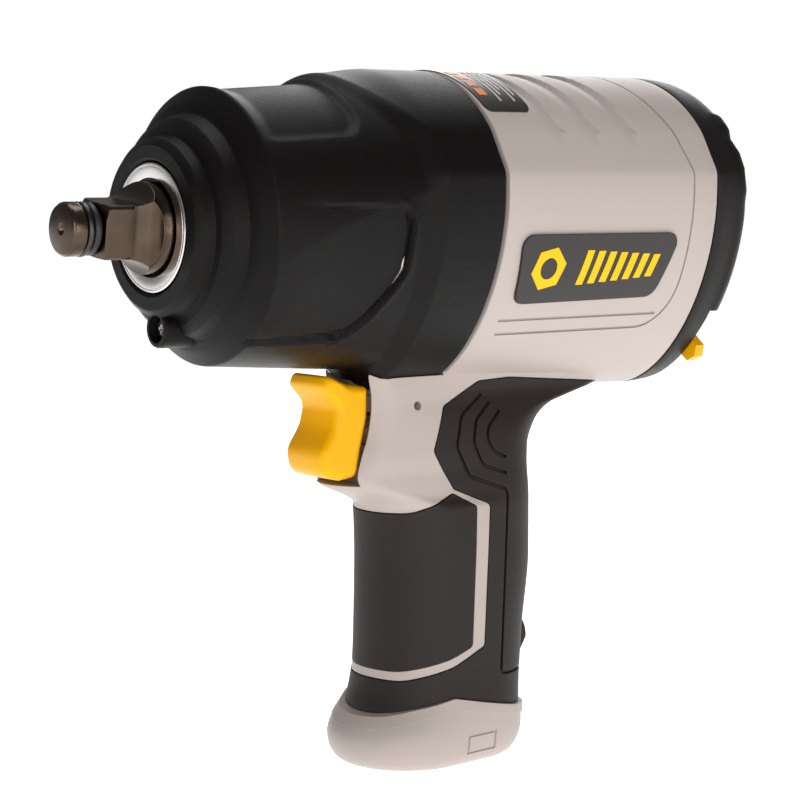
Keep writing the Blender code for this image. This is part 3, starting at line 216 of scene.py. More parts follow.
def body_half(depth, shrink=0.0):
    """(y, z) points of the body's section, from the top centre down the far side to the bottom centre."""
    radius, half = BODY_TOP - shrink, BODY_HALF - shrink
    points = []
    for i in range(ARC_POINTS + 1):
        angle = math.radians(90 + (FACET_TOP + 1.2 - 90) * i / ARC_POINTS)
        points.append((radius * math.cos(angle), radius * math.sin(angle)))
    corner = Vector((radius * math.cos(math.radians(FACET_TOP)), radius * math.sin(math.radians(FACET_TOP))))
    low = Vector((half, FACET_LOW))
    fall = (low - corner).normalized()
    points.append(tuple(corner + fall * 0.5))
    points.append(tuple((corner + low) / 2))
    points.append(tuple(low - fall * 0.8))
    points.append((half, FACET_LOW - 0.8))
    reach = SIDE_TOP + depth - shrink
    for i in range(25):
        down = math.sin(math.pi / 2 * i / 24)
        points.append((half * (1 - down**1.85) ** (1 / 1.7), SIDE_TOP - reach * down))
    return points


def body_ring(x, depth, shrink=0.0):
    """The body's whole section at a station."""
    half = body_half(depth, shrink)
    return [(x, y, z) for y, z in half] + [(x, -y, z) for y, z in reversed(half[1:-1])]


def ring_edges(bm, points):
    """A closed loop of edges through points."""
    made = [bm.verts.new(point) for point in points]
    return [bm.edges.new(pair) for pair in zip(made, made[1:] + made[:1])]


def skinned(rings, closed_ends=True):
    """A surface bridged through rings of points: a solid with closed ends, or a closed tube without."""
    bm = bmesh.new()
    loops = [ring_edges(bm, ring) for ring in rings]
    pairs = list(zip(loops, loops[1:]))
    if not closed_ends:
        pairs.append((loops[-1], loops[0]))
    for first, second in pairs:
        bmesh.ops.bridge_loops(bm, edges=first + second)
    if closed_ends:
        for loop in (loops[0], loops[-1]):
            bmesh.ops.contextual_create(bm, geom=loop)
    bmesh.ops.recalc_face_normals(bm, faces=bm.faces)
    return bm


def lathed(profile, steps=96, closed=False):
    """A profile of (x, radius) points turned about the drive axis."""
    bm = bmesh.new()
    points = [bm.verts.new((x, 0, radius)) for x, radius in profile]
    ends = points[1:] + points[:1] if closed else points[1:]
    line = [bm.edges.new(pair) for pair in zip(points, ends)]
    bmesh.ops.spin(bm, geom=points + line, axis=(1, 0, 0), angle=math.tau, steps=steps, use_merge=True)
    bmesh.ops.remove_doubles(bm, verts=bm.verts, dist=0.0005)
    bmesh.ops.recalc_face_normals(bm, faces=bm.faces)
    return bm


def circle(a, b, radius, count, other=None):
    """Points round a circle, or round an oval with another second radius."""
    turns = [math.tau * i / count for i in range(count)]
    return [(a + radius * math.cos(turn), b + (other or radius) * math.sin(turn)) for turn in turns]


def pillar(radius, start, end, y, z, steps=48):
    """A round bar along the drive axis."""
    bm = lathed([(start, 0), (start, radius), (end, radius), (end, 0)], steps)
    bmesh.ops.translate(bm, verts=bm.verts, vec=(0, y, z))
    return bm


def slab(outline, low, high, up="Y"):
    """An outline of (a, b) points pushed from low to high along Y, Z or X, the outline square to it."""
    place = {
        "Y": lambda a, b, h: (a, h, b),
        "Z": lambda a, b, h: (a, b, h),
        "X": lambda a, b, h: (h, a, b),
    }[up]
    bm = bmesh.new()
    edges = ring_edges(bm, [place(a, b, low) for a, b in outline])
    face = bmesh.ops.contextual_create(bm, geom=edges)["faces"]
    pushed = bmesh.ops.extrude_face_region(bm, geom=face, use_keep_orig=True)["geom"]
    shift = Vector(place(0, 0, high)) - Vector(place(0, 0, low))
    bmesh.ops.translate(bm, verts=[v for v in pushed if isinstance(v, bmesh.types.BMVert)], vec=shift)
    bmesh.ops.recalc_face_normals(bm, faces=bm.faces)
    return bm


def stand_in(bm):
    """A short-lived object for the modifiers, holding the mesh."""
    data = bpy.data.meshes.new("working")
    bm.to_mesh(data)
    bm.free()
    obj = bpy.data.objects.new("working", data)
    bpy.context.scene.collection.objects.link(obj)
    return obj


def worked(solid, steps):
    """The solid after exact Booleans with each (operation, other solid) in turn."""
    base = stand_in(solid)
    tools = []
    for operation, other in steps:
        tool = stand_in(other)
        tools.append(tool)
        step = base.modifiers.new("step", "BOOLEAN")
        step.operation = operation
        step.object = tool
    bpy.context.view_layer.update()
    done = bmesh.new()
    done.from_object(base, bpy.context.evaluated_depsgraph_get())
    for obj in [base, *tools]:
        data = obj.data
        bpy.data.objects.remove(obj, do_unlink=True)
        bpy.data.meshes.remove(data)
    return done


def made_piece(name, bm, finish, body, nodes=(), smooth=28.0):
    """A finished piece in the row frame, riding on its body and standing for its CAD nodes."""
    bmesh.ops.transform(bm, matrix=TO_ROW, verts=bm.verts)
    data = bpy.data.meshes.new(name)
    bm.to_mesh(data)
    bm.free()
    data.shade_smooth()
    data.set_sharp_from_angle(angle=math.radians(smooth))
    data.materials.append(finish)
    piece = bpy.data.objects.new(name, data)
    bpy.context.scene.collection.objects.link(piece)
    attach(piece, body)
    if nodes:
        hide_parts(*nodes)
    return piece


def eased(value, start, end):
    """0 before start, 1 after end, smooth between."""
    share = min(max((value - start) / (end - start), 0.0), 1.0)
    return share * share * (3 - 2 * share)


BOOT_BACK = 102.9
BOOT_EDGE = 0.35  # how far the barrel is eased in at its two rims
BOOT_WALL = 2.5
BARREL_START = 37.6
DIRECTIONS = 288
BODY_DEPTH = 41.9


def section_reach(depth, steps=DIRECTIONS):
    """How far the body's section reaches in each direction, counted from straight up towards the far side."""
    half = body_half(depth)
    outline = half + [(-y, z) for y, z in reversed(half[1:-1])]
    reaches = []
    for i in range(steps):
        angle = math.tau * i / steps
        way = Vector((math.sin(angle), math.cos(angle)))
        best = 0.0
        for a, b in zip(outline, outline[1:] + outline[:1]):
            edge = Vector((b[0] - a[0], b[1] - a[1]))
            cross = way.x * edge.y - way.y * edge.x
            if abs(cross) < 1e-9:
                continue
            reach = (a[0] * edge.y - a[1] * edge.x) / cross
            share = (a[0] * way.y - a[1] * way.x) / cross
            if reach > 0 and -1e-6 <= share <= 1 + 1e-6:
                best = max(best, reach)
        reaches.append(best)
    return reaches


BAND_REACH = section_reach(BODY_DEPTH)


def round_ring(x, radii, step=1):
    """A ring at a station from its radii, counted from straight up."""
    ring = []
    for i, radius in enumerate(radii):
        angle = math.tau * (i * step) / DIRECTIONS
        ring.append((x, radius * math.sin(angle), radius * math.cos(angle)))
    return ring


TOP_RECESS = 1.0
SIDE_RECESS, SIDE_GROOVE, SIDE_RIM = 0.85, 0.95, 0.22
LOW_EDGE = -27.6


def boot_radius(x, i):
    """The barrel's radius at a station and a direction."""
    angle = math.tau * i / DIRECTIONS
    band = BAND_REACH[i]
    rib = 33.5 + (x - 39.0) * 0.0705
    height = rib * math.cos(angle)
    rib = min(rib, band - 1.3 + 0.4 * eased(height, -34, -38))
    barrel = rib
    # top recess, open towards the nose, with a rounded corner at its back
    across = 20.6 + (x - 38) * 0.05
    corner = x - 60.5
    if height < across + 6.0:
        corner = math.hypot(max(corner, 0.0), max(across + 6.0 - height, 0.0))
    inside = (1 - eased(corner, 4.6, 7.0)) * eased(height, across - 1.2, across)
    barrel -= TOP_RECESS * inside * eased(x, BARREL_START, 43.0)
    # side recess with a groove along its back and lower edge
    top_edge = 5.8 - (x - 38) * 0.035
    slant = 76.4 - 10.5 * max(0.0, (-11.0 - height) / 16.0) ** 1.3
    side = abs(math.sin(angle))
    away = max(height - (top_edge - 4.0), (LOW_EDGE + 5.0) - height, 0.0)
    past = max(x - (slant - 5.0), 0.0)
    reach = math.hypot(away, past) if past > 0 else away
    if side > 0.5:
        inside = (1 - eased(reach, 4.0, 4.9)) * eased(x, 40.0, 62.0)
        along = eased(past + (away if height < 0 else 0), 1.5, 4.0)
        groove = eased(reach, 3.0, 3.8) * (1 - eased(reach, 4.2, 5.0)) * along
        rim = eased(reach, 4.8, 5.3) * (1 - eased(reach, 5.5, 6.6)) * eased(past + 2.0, 2.0, 3.0)
        barrel += -SIDE_RECESS * inside - SIDE_GROOVE * groove + SIDE_RIM * rim
    # the flare to the band: early and steep over the top, a short chamfer on the sides
    over_top = eased(height, 17.0, 36.0)
    start = 79.0 - 12.5 * over_top
    end = 85.0 - 13.0 * over_top
    share = min(max((x - start) / (end - start), 0.0), 1.0)
    share += (share * share * (3 - 2 * share) - share) * over_top
    target = band - 1.3 * over_top * (1 - eased(x, 72, 86))
    return barrel + (target - barrel) * share


boot_rings = []
nose = [
    (26.2, 15.7),
    (24.2, 15.7),
    (23.9, 16.0),
    (23.7, 16.4),
    (23.7, 19.4),
    (23.8, 19.7),
    (25.0, 21.0),
    (25.2, 21.15),
    (27.8, 21.7),
    (28.0, 21.85),
    (28.15, 22.2),
    (28.4, 23.6),
    (28.6, 23.9),
    (30.2, 25.7),
    (30.4, 25.85),
    (33.6, 26.9),
    (33.9, 27.2),
    (34.8, 29.6),
    (35.0, 29.9),
    (37.2, 32.6),
]
for x, radius in nose:
    boot_rings.append(round_ring(x, [radius] * DIRECTIONS))
stations = [BARREL_START + (BOOT_BACK - BOOT_EDGE - BARREL_START) * i / 130 for i in range(131)] + [BOOT_BACK]
for x in stations:
    drawn_in = BOOT_EDGE if x == BOOT_BACK else 0.0
    if x < 38.2:
        drawn_in += BOOT_EDGE * (1 - eased(x, BARREL_START - 0.2, 38.2))
    boot_rings.append(round_ring(x, [boot_radius(x, i) - drawn_in for i in range(DIRECTIONS)]))
for x in (BOOT_BACK, 86.0, 79.0, 60.0, 40.0, 34.0, 31.5):
    if x > 35:
        radii = [boot_radius(max(x, 38), i) - BOOT_WALL for i in range(DIRECTIONS)]
    else:
        radii = [22.6 if x > 32 else 15.7] * DIRECTIONS
    boot_rings.append(round_ring(x, radii))
boot = skinned(boot_rings, closed_ends=False)
SCREW_Z = -24.0
eyelet = lathed([(25.1, 0), (25.1, 4.0), (25.3, 4.3), (25.8, 4.5), (35.0, 4.7), (35.0, 0)], 48)
bmesh.ops.translate(eyelet, verts=eyelet.verts, vec=(0, 0, SCREW_Z))
boot = worked(
    boot,
    [
        ("UNION", eyelet),
        ("DIFFERENCE", pillar(3.3, 20.0, 29.3, 0, SCREW_Z)),
        ("DIFFERENCE", pillar(2.2, 20.0, 33.0, 0, SCREW_Z)),
        ("DIFFERENCE", slab([(58.0, -39.2), (88.1, -39.2), (88.1, -50.0), (58.0, -50.0)], -9.0, 9.0)),
    ],
)
BOOT_BLACK = moulded("boot_nylon", (0.0038, 0.0030, 0.0029), 0.37, 2300.0, 0.00016, 0.00015, 0.08, 0.03, 0.15)
made_piece("boot_shell", boot, BOOT_BLACK, "shell", ["nose_boot"], 17)


# ---------------------------------------------------------------- square drive
# The anvil's half-inch square of dark tempered steel, ground and polished, with scooped run-outs onto the
# round shank. A groove near its end holds a rubber ring and a split wire ring that grip the socket.
SQUARE = 12.7
SQUARE_TURN = 9.0
SHANK = 10.9
half = SQUARE / 2
anvil = lathed(
    [(1.6, 0), (1.3, 0.5), (0.15, 1.1), (0.0, 1.3), (0.0, 5.5), (0.1, 5.75), (0.85, 6.3), (1.1, half),
     (3.45, half), (3.7, 6.1), (3.7, 4.5), (8.2, 4.5), (8.2, 6.9), (8.9, 8.3), (9.4, 8.45), (15.5, 8.45),
     (15.8, SHANK - 0.15), (16.1, SHANK), (49.3, SHANK), (49.3, 0)],
    128,
)
scoops = []
for quarter in range(4):
    turn = Matrix.Rotation(math.radians(SQUARE_TURN + 90 * quarter), 4, "X")
    plate = slab([(8.0, half), (16.0, half), (16.0, 20.0), (8.0, 20.0)], -20, 20)
    bmesh.ops.transform(plate, matrix=turn, verts=plate.verts)
    ball = bmesh.new()
    bmesh.ops.create_cone(ball, cap_ends=True, segments=96, radius1=5.2, radius2=5.2, depth=44)
    bmesh.ops.rotate(ball, verts=ball.verts, cent=(0, 0, 0), matrix=Matrix.Rotation(math.radians(90), 3, "X"))
    bmesh.ops.translate(ball, verts=ball.verts, vec=(15.9, 0, half + 5.2))
    bmesh.ops.transform(ball, matrix=turn, verts=ball.verts)
    scoops += [("DIFFERENCE", plate), ("DIFFERENCE", ball)]
anvil = worked(anvil, scoops)


def steel(name, colour, roughness, lines, direction, depth=0.00002, rounding=0.00025, tint=None):
    """Ground steel: fine lines one way, patches of heat tint, a bright rounded edge."""
    made = bpy.data.materials.new(name)
    made.use_nodes = True
    made.diffuse_color = (*colour, 1)
    nodes, links = made.node_tree.nodes, made.node_tree.links
    shader = nodes["Principled BSDF"]
    shader.inputs["Metallic"].default_value = 1.0
    where = nodes.new("ShaderNodeTexCoord")
    stretch = nodes.new("ShaderNodeMapping")
    stretch.inputs["Scale"].default_value = direction
    scratch = nodes.new("ShaderNodeTexNoise")
    scratch.inputs["Scale"].default_value = lines
    scratch.inputs["Detail"].default_value = 5.0
    patch = nodes.new("ShaderNodeTexNoise")
    patch.inputs["Scale"].default_value = 90.0
    patch.inputs["Detail"].default_value = 3.0
    soft = nodes.new("ShaderNodeBevel")
    soft.samples = 6
    soft.inputs["Radius"].default_value = rounding
    bump = nodes.new("ShaderNodeBump")
    bump.inputs["Distance"].default_value = depth
    tone = nodes.new("ShaderNodeMix")
    tone.data_type = "RGBA"
    tone.inputs["A"].default_value = (*[c * 0.82 for c in colour], 1)
    tone.inputs["B"].default_value = (*(tint or [min(1.0, c * 1.15) for c in colour]), 1)
    polish = nodes.new("ShaderNodeMapRange")
    polish.inputs["To Min"].default_value = roughness - 0.05
    polish.inputs["To Max"].default_value = roughness + 0.10
    links.new(where.outputs["Object"], stretch.inputs["Vector"])
    links.new(stretch.outputs["Vector"], scratch.inputs["Vector"])
    links.new(where.outputs["Object"], patch.inputs["Vector"])
    links.new(soft.outputs["Normal"], bump.inputs["Normal"])
    links.new(scratch.outputs["Fac"], bump.inputs["Height"])
    links.new(scratch.outputs["Fac"], polish.inputs["Value"])
    links.new(patch.outputs["Fac"], tone.inputs["Factor"])
    links.new(tone.outputs["Result"], shader.inputs["Base Color"])
    links.new(polish.outputs["Result"], shader.inputs["Roughness"])
    links.new(bump.outputs["Normal"], shader.inputs["Normal"])
    return made


HEAT_TINT = (0.15, 0.11, 0.082)
ALONG_X = (0.15, 1.0, 1.0)
DARK_STEEL = steel("tempered_steel", (0.060, 0.042, 0.031), 0.22, 900.0, ALONG_X, 0.000008, 0.0004, HEAT_TINT)
made_piece("square_drive", anvil, DARK_STEEL, "anvil_train", ["anvil"], 30)

ring_profile = circle(6.75, 5.55, 0.95, 20, 0.62)
RING_RUBBER = moulded("ring_rubber", (0.012, 0.012, 0.012), 0.42, 1800.0, 0.00002, 0.0001, 0.1, 0.0)
oring = lathed(ring_profile, 72, closed=True)
made_piece("grip_oring", oring, RING_RUBBER, "anvil_train", ["socket_oring"], 60)
split = slab([(3, 1), (7, 1), (7, 9), (3, 9)], -0.9, 0.9)
clip = worked(lathed(circle(4.75, 5.62, 0.85, 16), 72, closed=True), [("DIFFERENCE", split)])
CLIP_STEEL = steel("blackened_spring_steel", (0.075, 0.07, 0.068), 0.32, 1200.0, (1, 1, 1), 0.00001)
made_piece("friction_ring", clip, CLIP_STEEL, "anvil_train", ["socket_ring"], 60)

# ---------------------------------------------------------------- hammer case nose
# The bright machined end of the aluminium hammer case shows as a ring around the shank. The rest of the case
# lies under the boot.
case = lathed(
    [(23.75, 11.75), (23.7, 11.95), (23.7, 14.35), (23.95, 14.45), (23.95, 14.65), (23.7, 14.75),
     (23.7, 15.05), (23.9, 15.3), (31.0, 15.3), (33.0, 20.5), (40.5, 29.0), (64.0, 31.0), (86.0, 32.6),
     (102.7, 32.6), (102.7, 26.4), (48.6, 26.4), (48.6, 13.6), (26.4, 13.6), (26.4, 11.75)],
    144,
    closed=True,
)
BRIGHT_ALUMINIUM = steel(
    "turned_aluminium", (0.87, 0.82, 0.82), 0.20, 1500.0, (1, 1, 1), 0.000006, 0.0001, (0.95, 0.91, 0.91)
)
made_piece("case_nose", case, BRIGHT_ALUMINIUM, "shell", ["hammer_case"], 25)

# ---------------------------------------------------------------- boot screw
# A small zinc-plated cross-head screw, deep in the eyelet under the nose.
# It holds the boot to the hammer case.
head = lathed(
    [(26.9, 0), (26.85, 1.2), (27.1, 2.2), (27.6, 2.75), (29.2, 2.75), (29.2, 2.0), (38.0, 2.0), (38.0, 0)],
    48,
)
bmesh.ops.translate(head, verts=head.verts, vec=(0, 0, SCREW_Z))
slot = [(25, -1.9), (28.1, -0.9), (28.1, 0.9), (25, 1.9)]
SLOT_HALF = 0.38
cross = [
    slab([(x, z + SCREW_Z) for x, z in slot], -SLOT_HALF, SLOT_HALF),
    slab(slot, SCREW_Z - SLOT_HALF, SCREW_Z + SLOT_HALF, "Z"),
]
head = worked(head, [("DIFFERENCE", arm) for arm in cross])
ZINC = steel("zinc_plate", (0.70, 0.70, 0.70), 0.25, 700.0, (1, 1, 1), 0.00001)
made_piece("cross_head_screw", head, ZINC, "shell", ["boot_screw"], 30)


# ---------------------------------------------------------------- handle shape
# The handle is a rounded plan section that changes down its length: a neck behind the trigger, a lip under
# it, a straight grip and a flare into the base.
HANDLE_ROWS = [  # depth below the drive axis, front, back, front radius, back radius
    (28.0, 79.2, 166.6, 10.8, 10.8),
    (37.0, 77.0, 166.1, 11.4, 10.8),
    (43.0, 78.2, 163.6, 12.0, 10.0),
    (45.2, 78.2, 155.6, 12.0, 11.2),
    (48.0, 78.0, 144.6, 12.1, 13.3),
    (52.5, 77.2, 139.0, 12.2, 15.1),
    (58.0, 75.2, 136.6, 12.2, 16.2),
    (63.0, 73.7, 136.3, 11.6, 16.9),
    (65.5, 75.1, 136.4, 12.3, 17.3),
    (69.0, 82.7, 136.6, 14.6, 17.7),
    (72.0, 87.6, 136.6, 17.4, 18.0),
    (86.0, 88.2, 136.6, 18.0, 18.0),
    (106.0, 87.8, 134.4, 18.0, 18.0),
    (114.0, 87.4, 133.8, 18.0, 18.0),
    (119.0, 86.6, 133.4, 18.2, 18.2),
    (124.0, 85.2, 133.2, 18.6, 18.5),
]


def along_rows(z):
    """The handle's front, back and end radii at a height, smooth between the rows."""
    rows = HANDLE_ROWS
    z = min(max(z, rows[0][0]), rows[-1][0])
    i = max(k for k in range(len(rows) - 1) if rows[k][0] <= z)
    a, b = rows[i], rows[i + 1]
    before, after = rows[max(i - 1, 0)], rows[min(i + 2, len(rows) - 1)]
    t = (z - a[0]) / (b[0] - a[0])
    values = []
    for k in range(1, 5):
        rise = (b[k] - a[k]) / (b[0] - a[0])
        left = (a[k] - before[k]) / (a[0] - before[0]) if a is not before else rise
        right = (after[k] - b[k]) / (after[0] - b[0]) if b is not after else rise
        start = 0.0 if left * rise <= 0 else 2 * left * rise / (left + rise)
        stop = 0.0 if right * rise <= 0 else 2 * right * rise / (right + rise)
        width = b[0] - a[0]
        values.append(
            a[k] * (2 * t**3 - 3 * t**2 + 1)
            + start * width * (t**3 - 2 * t**2 + t)
            + b[k] * (3 * t**2 - 2 * t**3)
            + stop * width * (t**3 - t**2)
        )
    return values


def plan_ring(z, front, back, front_radius, back_radius, steps=22):
    """A plan section at a height: two round ends joined by straight sides."""
    a, b = front + front_radius, back - back_radius
    lean = math.asin((back_radius - front_radius) / (b - a))
    ring = []
    ends = ((a, front_radius, math.pi / 2 + lean), (b, back_radius, -math.pi / 2 - lean))
    for centre, radius, start in ends:
        sweep = math.pi - 2 * lean if centre == a else math.pi + 2 * lean
        for i in range(steps + 1):
            angle = start + sweep * i / steps
            ring.append((centre + radius * math.cos(angle), radius * math.sin(angle), z))
    return ring


def handle_form(inward=0.0, top=28.0, bottom=124.0, count=90):
    """The handle between two depths below the axis, drawn in by an amount."""
    rings = []
    for i in range(count + 1):
        z = top + (bottom - top) * i / count
        front, back, front_radius, back_radius = along_rows(z)
        radii = (front_radius - inward, back_radius - inward)
        rings.append(plan_ring(-z, front + inward, back - inward, *radii))
    return skinned(rings)


def rounded_outline(corners, radius, steps=8):
    """A closed outline with its corners rounded. A corner may carry its own radius."""
    points = []
    for i, corner in enumerate(corners):
        here = Vector(corner[:2])
        back = (Vector(corners[i - 1][:2]) - here).normalized()
        ahead = (Vector(corners[(i + 1) % len(corners)][:2]) - here).normalized()
        bend = corner[2] if len(corner) > 2 else radius
        opening = back.angle(ahead) / 2
        if bend <= 0 or opening > math.radians(88.5):
            points.append(tuple(here))
            continue
        reach = bend / math.tan(opening)
        centre = here + (back + ahead).normalized() * bend / math.sin(opening)
        first = here + back * reach - centre
        turn = first.angle_signed(here + ahead * reach - centre)
        for step in range(steps + 1):
            spoke = Matrix.Rotation(-turn * step / steps, 2) @ first
            points.append(tuple(centre + spoke))
    return points


# ---------------------------------------------------------------- rubber grips
# Two soft overmouldings on the handle's core: a smooth wrap in front and a rear grip with thumb pads, ribs on
# its back and a band round the foot. Both are dark grey rubber, a little proud of the plastic.
PANEL_OUTLINE = [
    (40.0, -67.4, 0.0),
    (79.0, -67.4, 2.0),
    (85.0, -73.4, 7.0),
    (92.4, -73.0, 9.0),
    (103.4, -68.4, 1.2),
    (109.6, -71.9, 1.2),
    (108.0, -107.9, 1.2),
    (101.0, -110.6, 5.0),
    (90.0, -113.6, 8.0),
    (80.0, -113.4, 4.0),
    (40.0, -113.4, 0.0),
]
REAR_OUTLINE = [
    (172.0, -44.2, 0.6),
    (126.0, -40.2, 4.0),
    (115.4, -40.6, 2.0),
    (103.2, -46.4, 1.5),
    (98.9, -57.4, 1.5),
    (104.0, -67.2, 1.2),
    (114.1, -71.6, 1.2),
    (112.2, -108.4, 1.2),
    (102.0, -112.9, 5.0),
    (90.5, -116.2, 8.0),
    (80.0, -115.9, 4.0),
    (40.0, -115.9, 0.0),
    (40.0, -129.0, 0.0),
    (190.0, -129.0, 0.0),
    (190.0, -44.2, 0.0),
]
RUBBER_DEPTH = 1.8
RUBBER_PROUD = 0.12
GRIP_GAP = 0.22
FOOT_SEAM = [
    (60.0, -126.4),
    (80.0, -125.8),
    (85.8, -124.6),
    (91.5, -122.9),
    (101.8, -120.6),
    (112.0, -122.9),
    (123.0, -125.2),
    (136.0, -127.0),
]


def seam_height(x):
    """Height of the seam between the rubber and the foot: a wave with one peak on each side."""
    for (a, low), (b, high) in zip(FOOT_SEAM, FOOT_SEAM[1:]):
        if x <= b:
            return low + (high - low) * (max(x, a) - a) / (b - a)
    return FOOT_SEAM[-1][1]


def above_seam(drop):
    """Everything above the seam, moved down by a drop."""
    line = [(x, seam_height(x) - drop) for x in range(60, 141)]
    return slab([*line, (210, line[-1][1]), (210, 0), (60, 0)], -40, 40)


def spread(outline, amount):
    """The outline moved outwards by an amount, corner by corner."""
    moved = []
    area = sum(a[0] * b[1] - b[0] * a[1] for a, b in zip(outline, outline[1:] + outline[:1]))
    way = 1 if area > 0 else -1
    for i, corner in enumerate(outline):
        here = Vector(corner[:2])
        back = (here - Vector(outline[i - 1][:2])).normalized()
        ahead = (Vector(outline[(i + 1) % len(outline)][:2]) - here).normalized()
        normals = [Vector((side.y, -side.x)) * way for side in (back, ahead)]
        mean = (normals[0] + normals[1]).normalized()
        shift = mean * amount / max(mean.dot(normals[0]), 0.3)
        moved.append((here.x + shift.x, here.y + shift.y, corner[2]))
    return moved


def bent(points, reach=1.4):
    """A line's corners rounded off."""
    line = [points[0]]
    for before, corner, after in zip(points, points[1:], points[2:]):
        corner = Vector(corner)
        back, ahead = Vector(before) - corner, Vector(after) - corner
        start = corner + back.normalized() * min(reach, back.length * 0.45)
        end = corner + ahead.normalized() * min(reach, ahead.length * 0.45)
        for i in range(7):
            t = i / 6
            line.append(tuple(start * (1 - t) ** 2 + corner * 2 * t * (1 - t) + end * t * t))
    return line + [points[-1]]


def stroke(points, width):
    """The outline of a line of a given width through points."""
    points = bent(points)
    left, right = [], []
    for i, point in enumerate(points):
        here = Vector(point)
        back = (here - Vector(points[i - 1])).normalized() if i else None
        ahead = (Vector(points[i + 1]) - here).normalized() if i + 1 < len(points) else None
        way = ((back or ahead) + (ahead or back)).normalized()
        side = Vector((-way.y, way.x)) * width / 2
        side /= max(abs(Vector((-(back or ahead).y, (back or ahead).x)).dot(side.normalized())), 0.5)
        left.append(tuple(here + side))
        right.append(tuple(here - side))
    return left + right[::-1]


front_grip = worked(
    handle_form(-RUBBER_PROUD),
    [
        ("DIFFERENCE", handle_form(RUBBER_DEPTH, 27, 125)),
        ("INTERSECT", slab(rounded_outline(PANEL_OUTLINE, 0), -40, 40)),
    ],
)
GRIP_COLOUR = (0.0180, 0.0128, 0.0112)
GRIP_RUBBER = moulded("grip_rubber", GRIP_COLOUR, 0.55, 2000.0, 0.00010, 0.0005, 0.10, 0.06, 0.30)
made_piece("front_wrap", front_grip, GRIP_RUBBER, "shell", ["front_grip"], 30)

ribbed = []
for rib in range(9):
    height = -77.5 - 2.7 * rib
    back = along_rows(-height)[1]
    inner, outer = back - 0.9, back + 9
    wedge = [(inner, height + 0.45), (outer, height + 1.1), (outer, height - 1.1), (inner, height - 0.45)]
    ribbed.append(("DIFFERENCE", slab(wedge, -9.5, 9.5)))
lip_line = [
    (126.0, -103.5, 0),
    (134.6, -103.5, 6.0),
    (136.0, -110.4, 2.2),
    (133.4, -114.6, 1.0),
    (126.0, -114.6, 0),
]
lip = slab(rounded_outline(lip_line, 0), -7.0, 7.0)
notch_line = [(131.6, -112.4), (140.0, -112.4), (140.0, -115.2), (131.6, -115.2)]
notch = slab(rounded_outline(notch_line, 0.8), -4.2, 4.2)
whole = worked(handle_form(-RUBBER_PROUD, 28, 129, 94), ribbed)
whole = worked(whole, [("UNION", lip), ("DIFFERENCE", notch)])
whole = worked(whole, [("DIFFERENCE", handle_form(RUBBER_DEPTH, 27, 130, 94))])
taper = DEPTH_GAIN / (HOUSING_END - HOUSING_START)
under_barrel = skinned(
    [body_ring(x, DEPTH_FRONT + taper * (x - HOUSING_START), -0.5) for x in (103.0, 178.0)]
)
keep = worked(
    slab(rounded_outline(REAR_OUTLINE, 0), -40, 40),
    [
        ("INTERSECT", above_seam(-0.1)),
        ("DIFFERENCE", under_barrel),
    ],
)
rear_grip = worked(whole, [("INTERSECT", keep)])
grooves = []
for line in (
    [
        (116.2, -43.9),
        (108.2, -48.8),
        (105.6, -56.7),
        (108.8, -64.3),
        (119.8, -68.4),
        (117.8, -116.2),
        (140.0, -117.6),
    ],
    [(118.4, -45.9), (112.6, -50.1), (110.8, -55.9), (112.9, -61.6), (120.1, -64.2)],
    [(120.8, -48.2), (116.0, -52.0), (115.2, -55.3), (116.8, -58.6), (120.3, -60.1)],
):
    grooves.append(slab(stroke(line, 0.85), -40, 40))
channel = worked(handle_form(-3.0), [("DIFFERENCE", handle_form(0.75, 27, 125))])
cuts = []
for groove in grooves:
    cuts.append(("DIFFERENCE", worked(channel.copy(), [("INTERSECT", groove)])))
channel.free()
rear_grip = worked(rear_grip, cuts)
made_piece("rear_overmould", rear_grip, GRIP_RUBBER, "shell", ["rear_grip"], 30)

# ---------------------------------------------------------------- housing with handle core
# Light grey glass-filled nylon: the motor's barrel with its facets and grooves, and the handle's core,
# moulded as one. The rubber grips lie in shallow recesses, the trigger in a pocket under the barrel.


def body_depth(x):
    return DEPTH_FRONT + DEPTH_GAIN * min(max((x - HOUSING_START) / (HOUSING_END - HOUSING_START), 0), 1)


SCOOP_RUN, SCOOP_STEP = 7.0, 0.45


def scooped(x, height):
    """Depth of the three slanting scoops over the top: each slopes down to the back and ends in a step."""
    depth = 0.0
    for foot in (127.5, 139.6, 152.4):
        past = x - (foot - 0.36 * (height - 22.6))
        if -SCOOP_RUN < past < SCOOP_STEP:
            depth += min((past + SCOOP_RUN) / SCOOP_RUN, 1.0) ** 1.5 * (1 - eased(past, 0.0, SCOOP_STEP))
    return depth * eased(height, 22.4, 24.2)


barrel_rings = []
stations = [(104.0, 0.55), (104.15, 0.2), (104.5, 0.0), (108.0, 0.0), (112.0, 0.0)]
stations += [(112.0 + 0.35 * i, 0.0) for i in range(1, 120)]
stations += [(154.0 + 3.1 * i, 0.0) for i in range(7)] + [(175.7, 0.0), (176.05, 0.15), (176.2, 0.45)]
for x, shrink in stations:
    ring = []
    for _, y, z in body_ring(x, body_depth(x), shrink):
        scale = 1 - scooped(x, z) / BODY_TOP
        ring.append((x, y * scale, z * scale))
    barrel_rings.append(ring)
barrel = skinned(barrel_rings)


def boot_clearance(extra=0.25):
    """The boot's barrel a little larger, to part the handle from it."""
    rings = []
    for x in (60.0, 66.0, 72.0, 78.0, 80.0, 84.0, 86.0, 95.0, 103.7):
        radii = [boot_radius(min(x, BOOT_BACK - 0.5), i) + extra for i in range(0, DIRECTIONS, 3)]
        rings.append(round_ring(x, radii, 3))
    return skinned(rings)




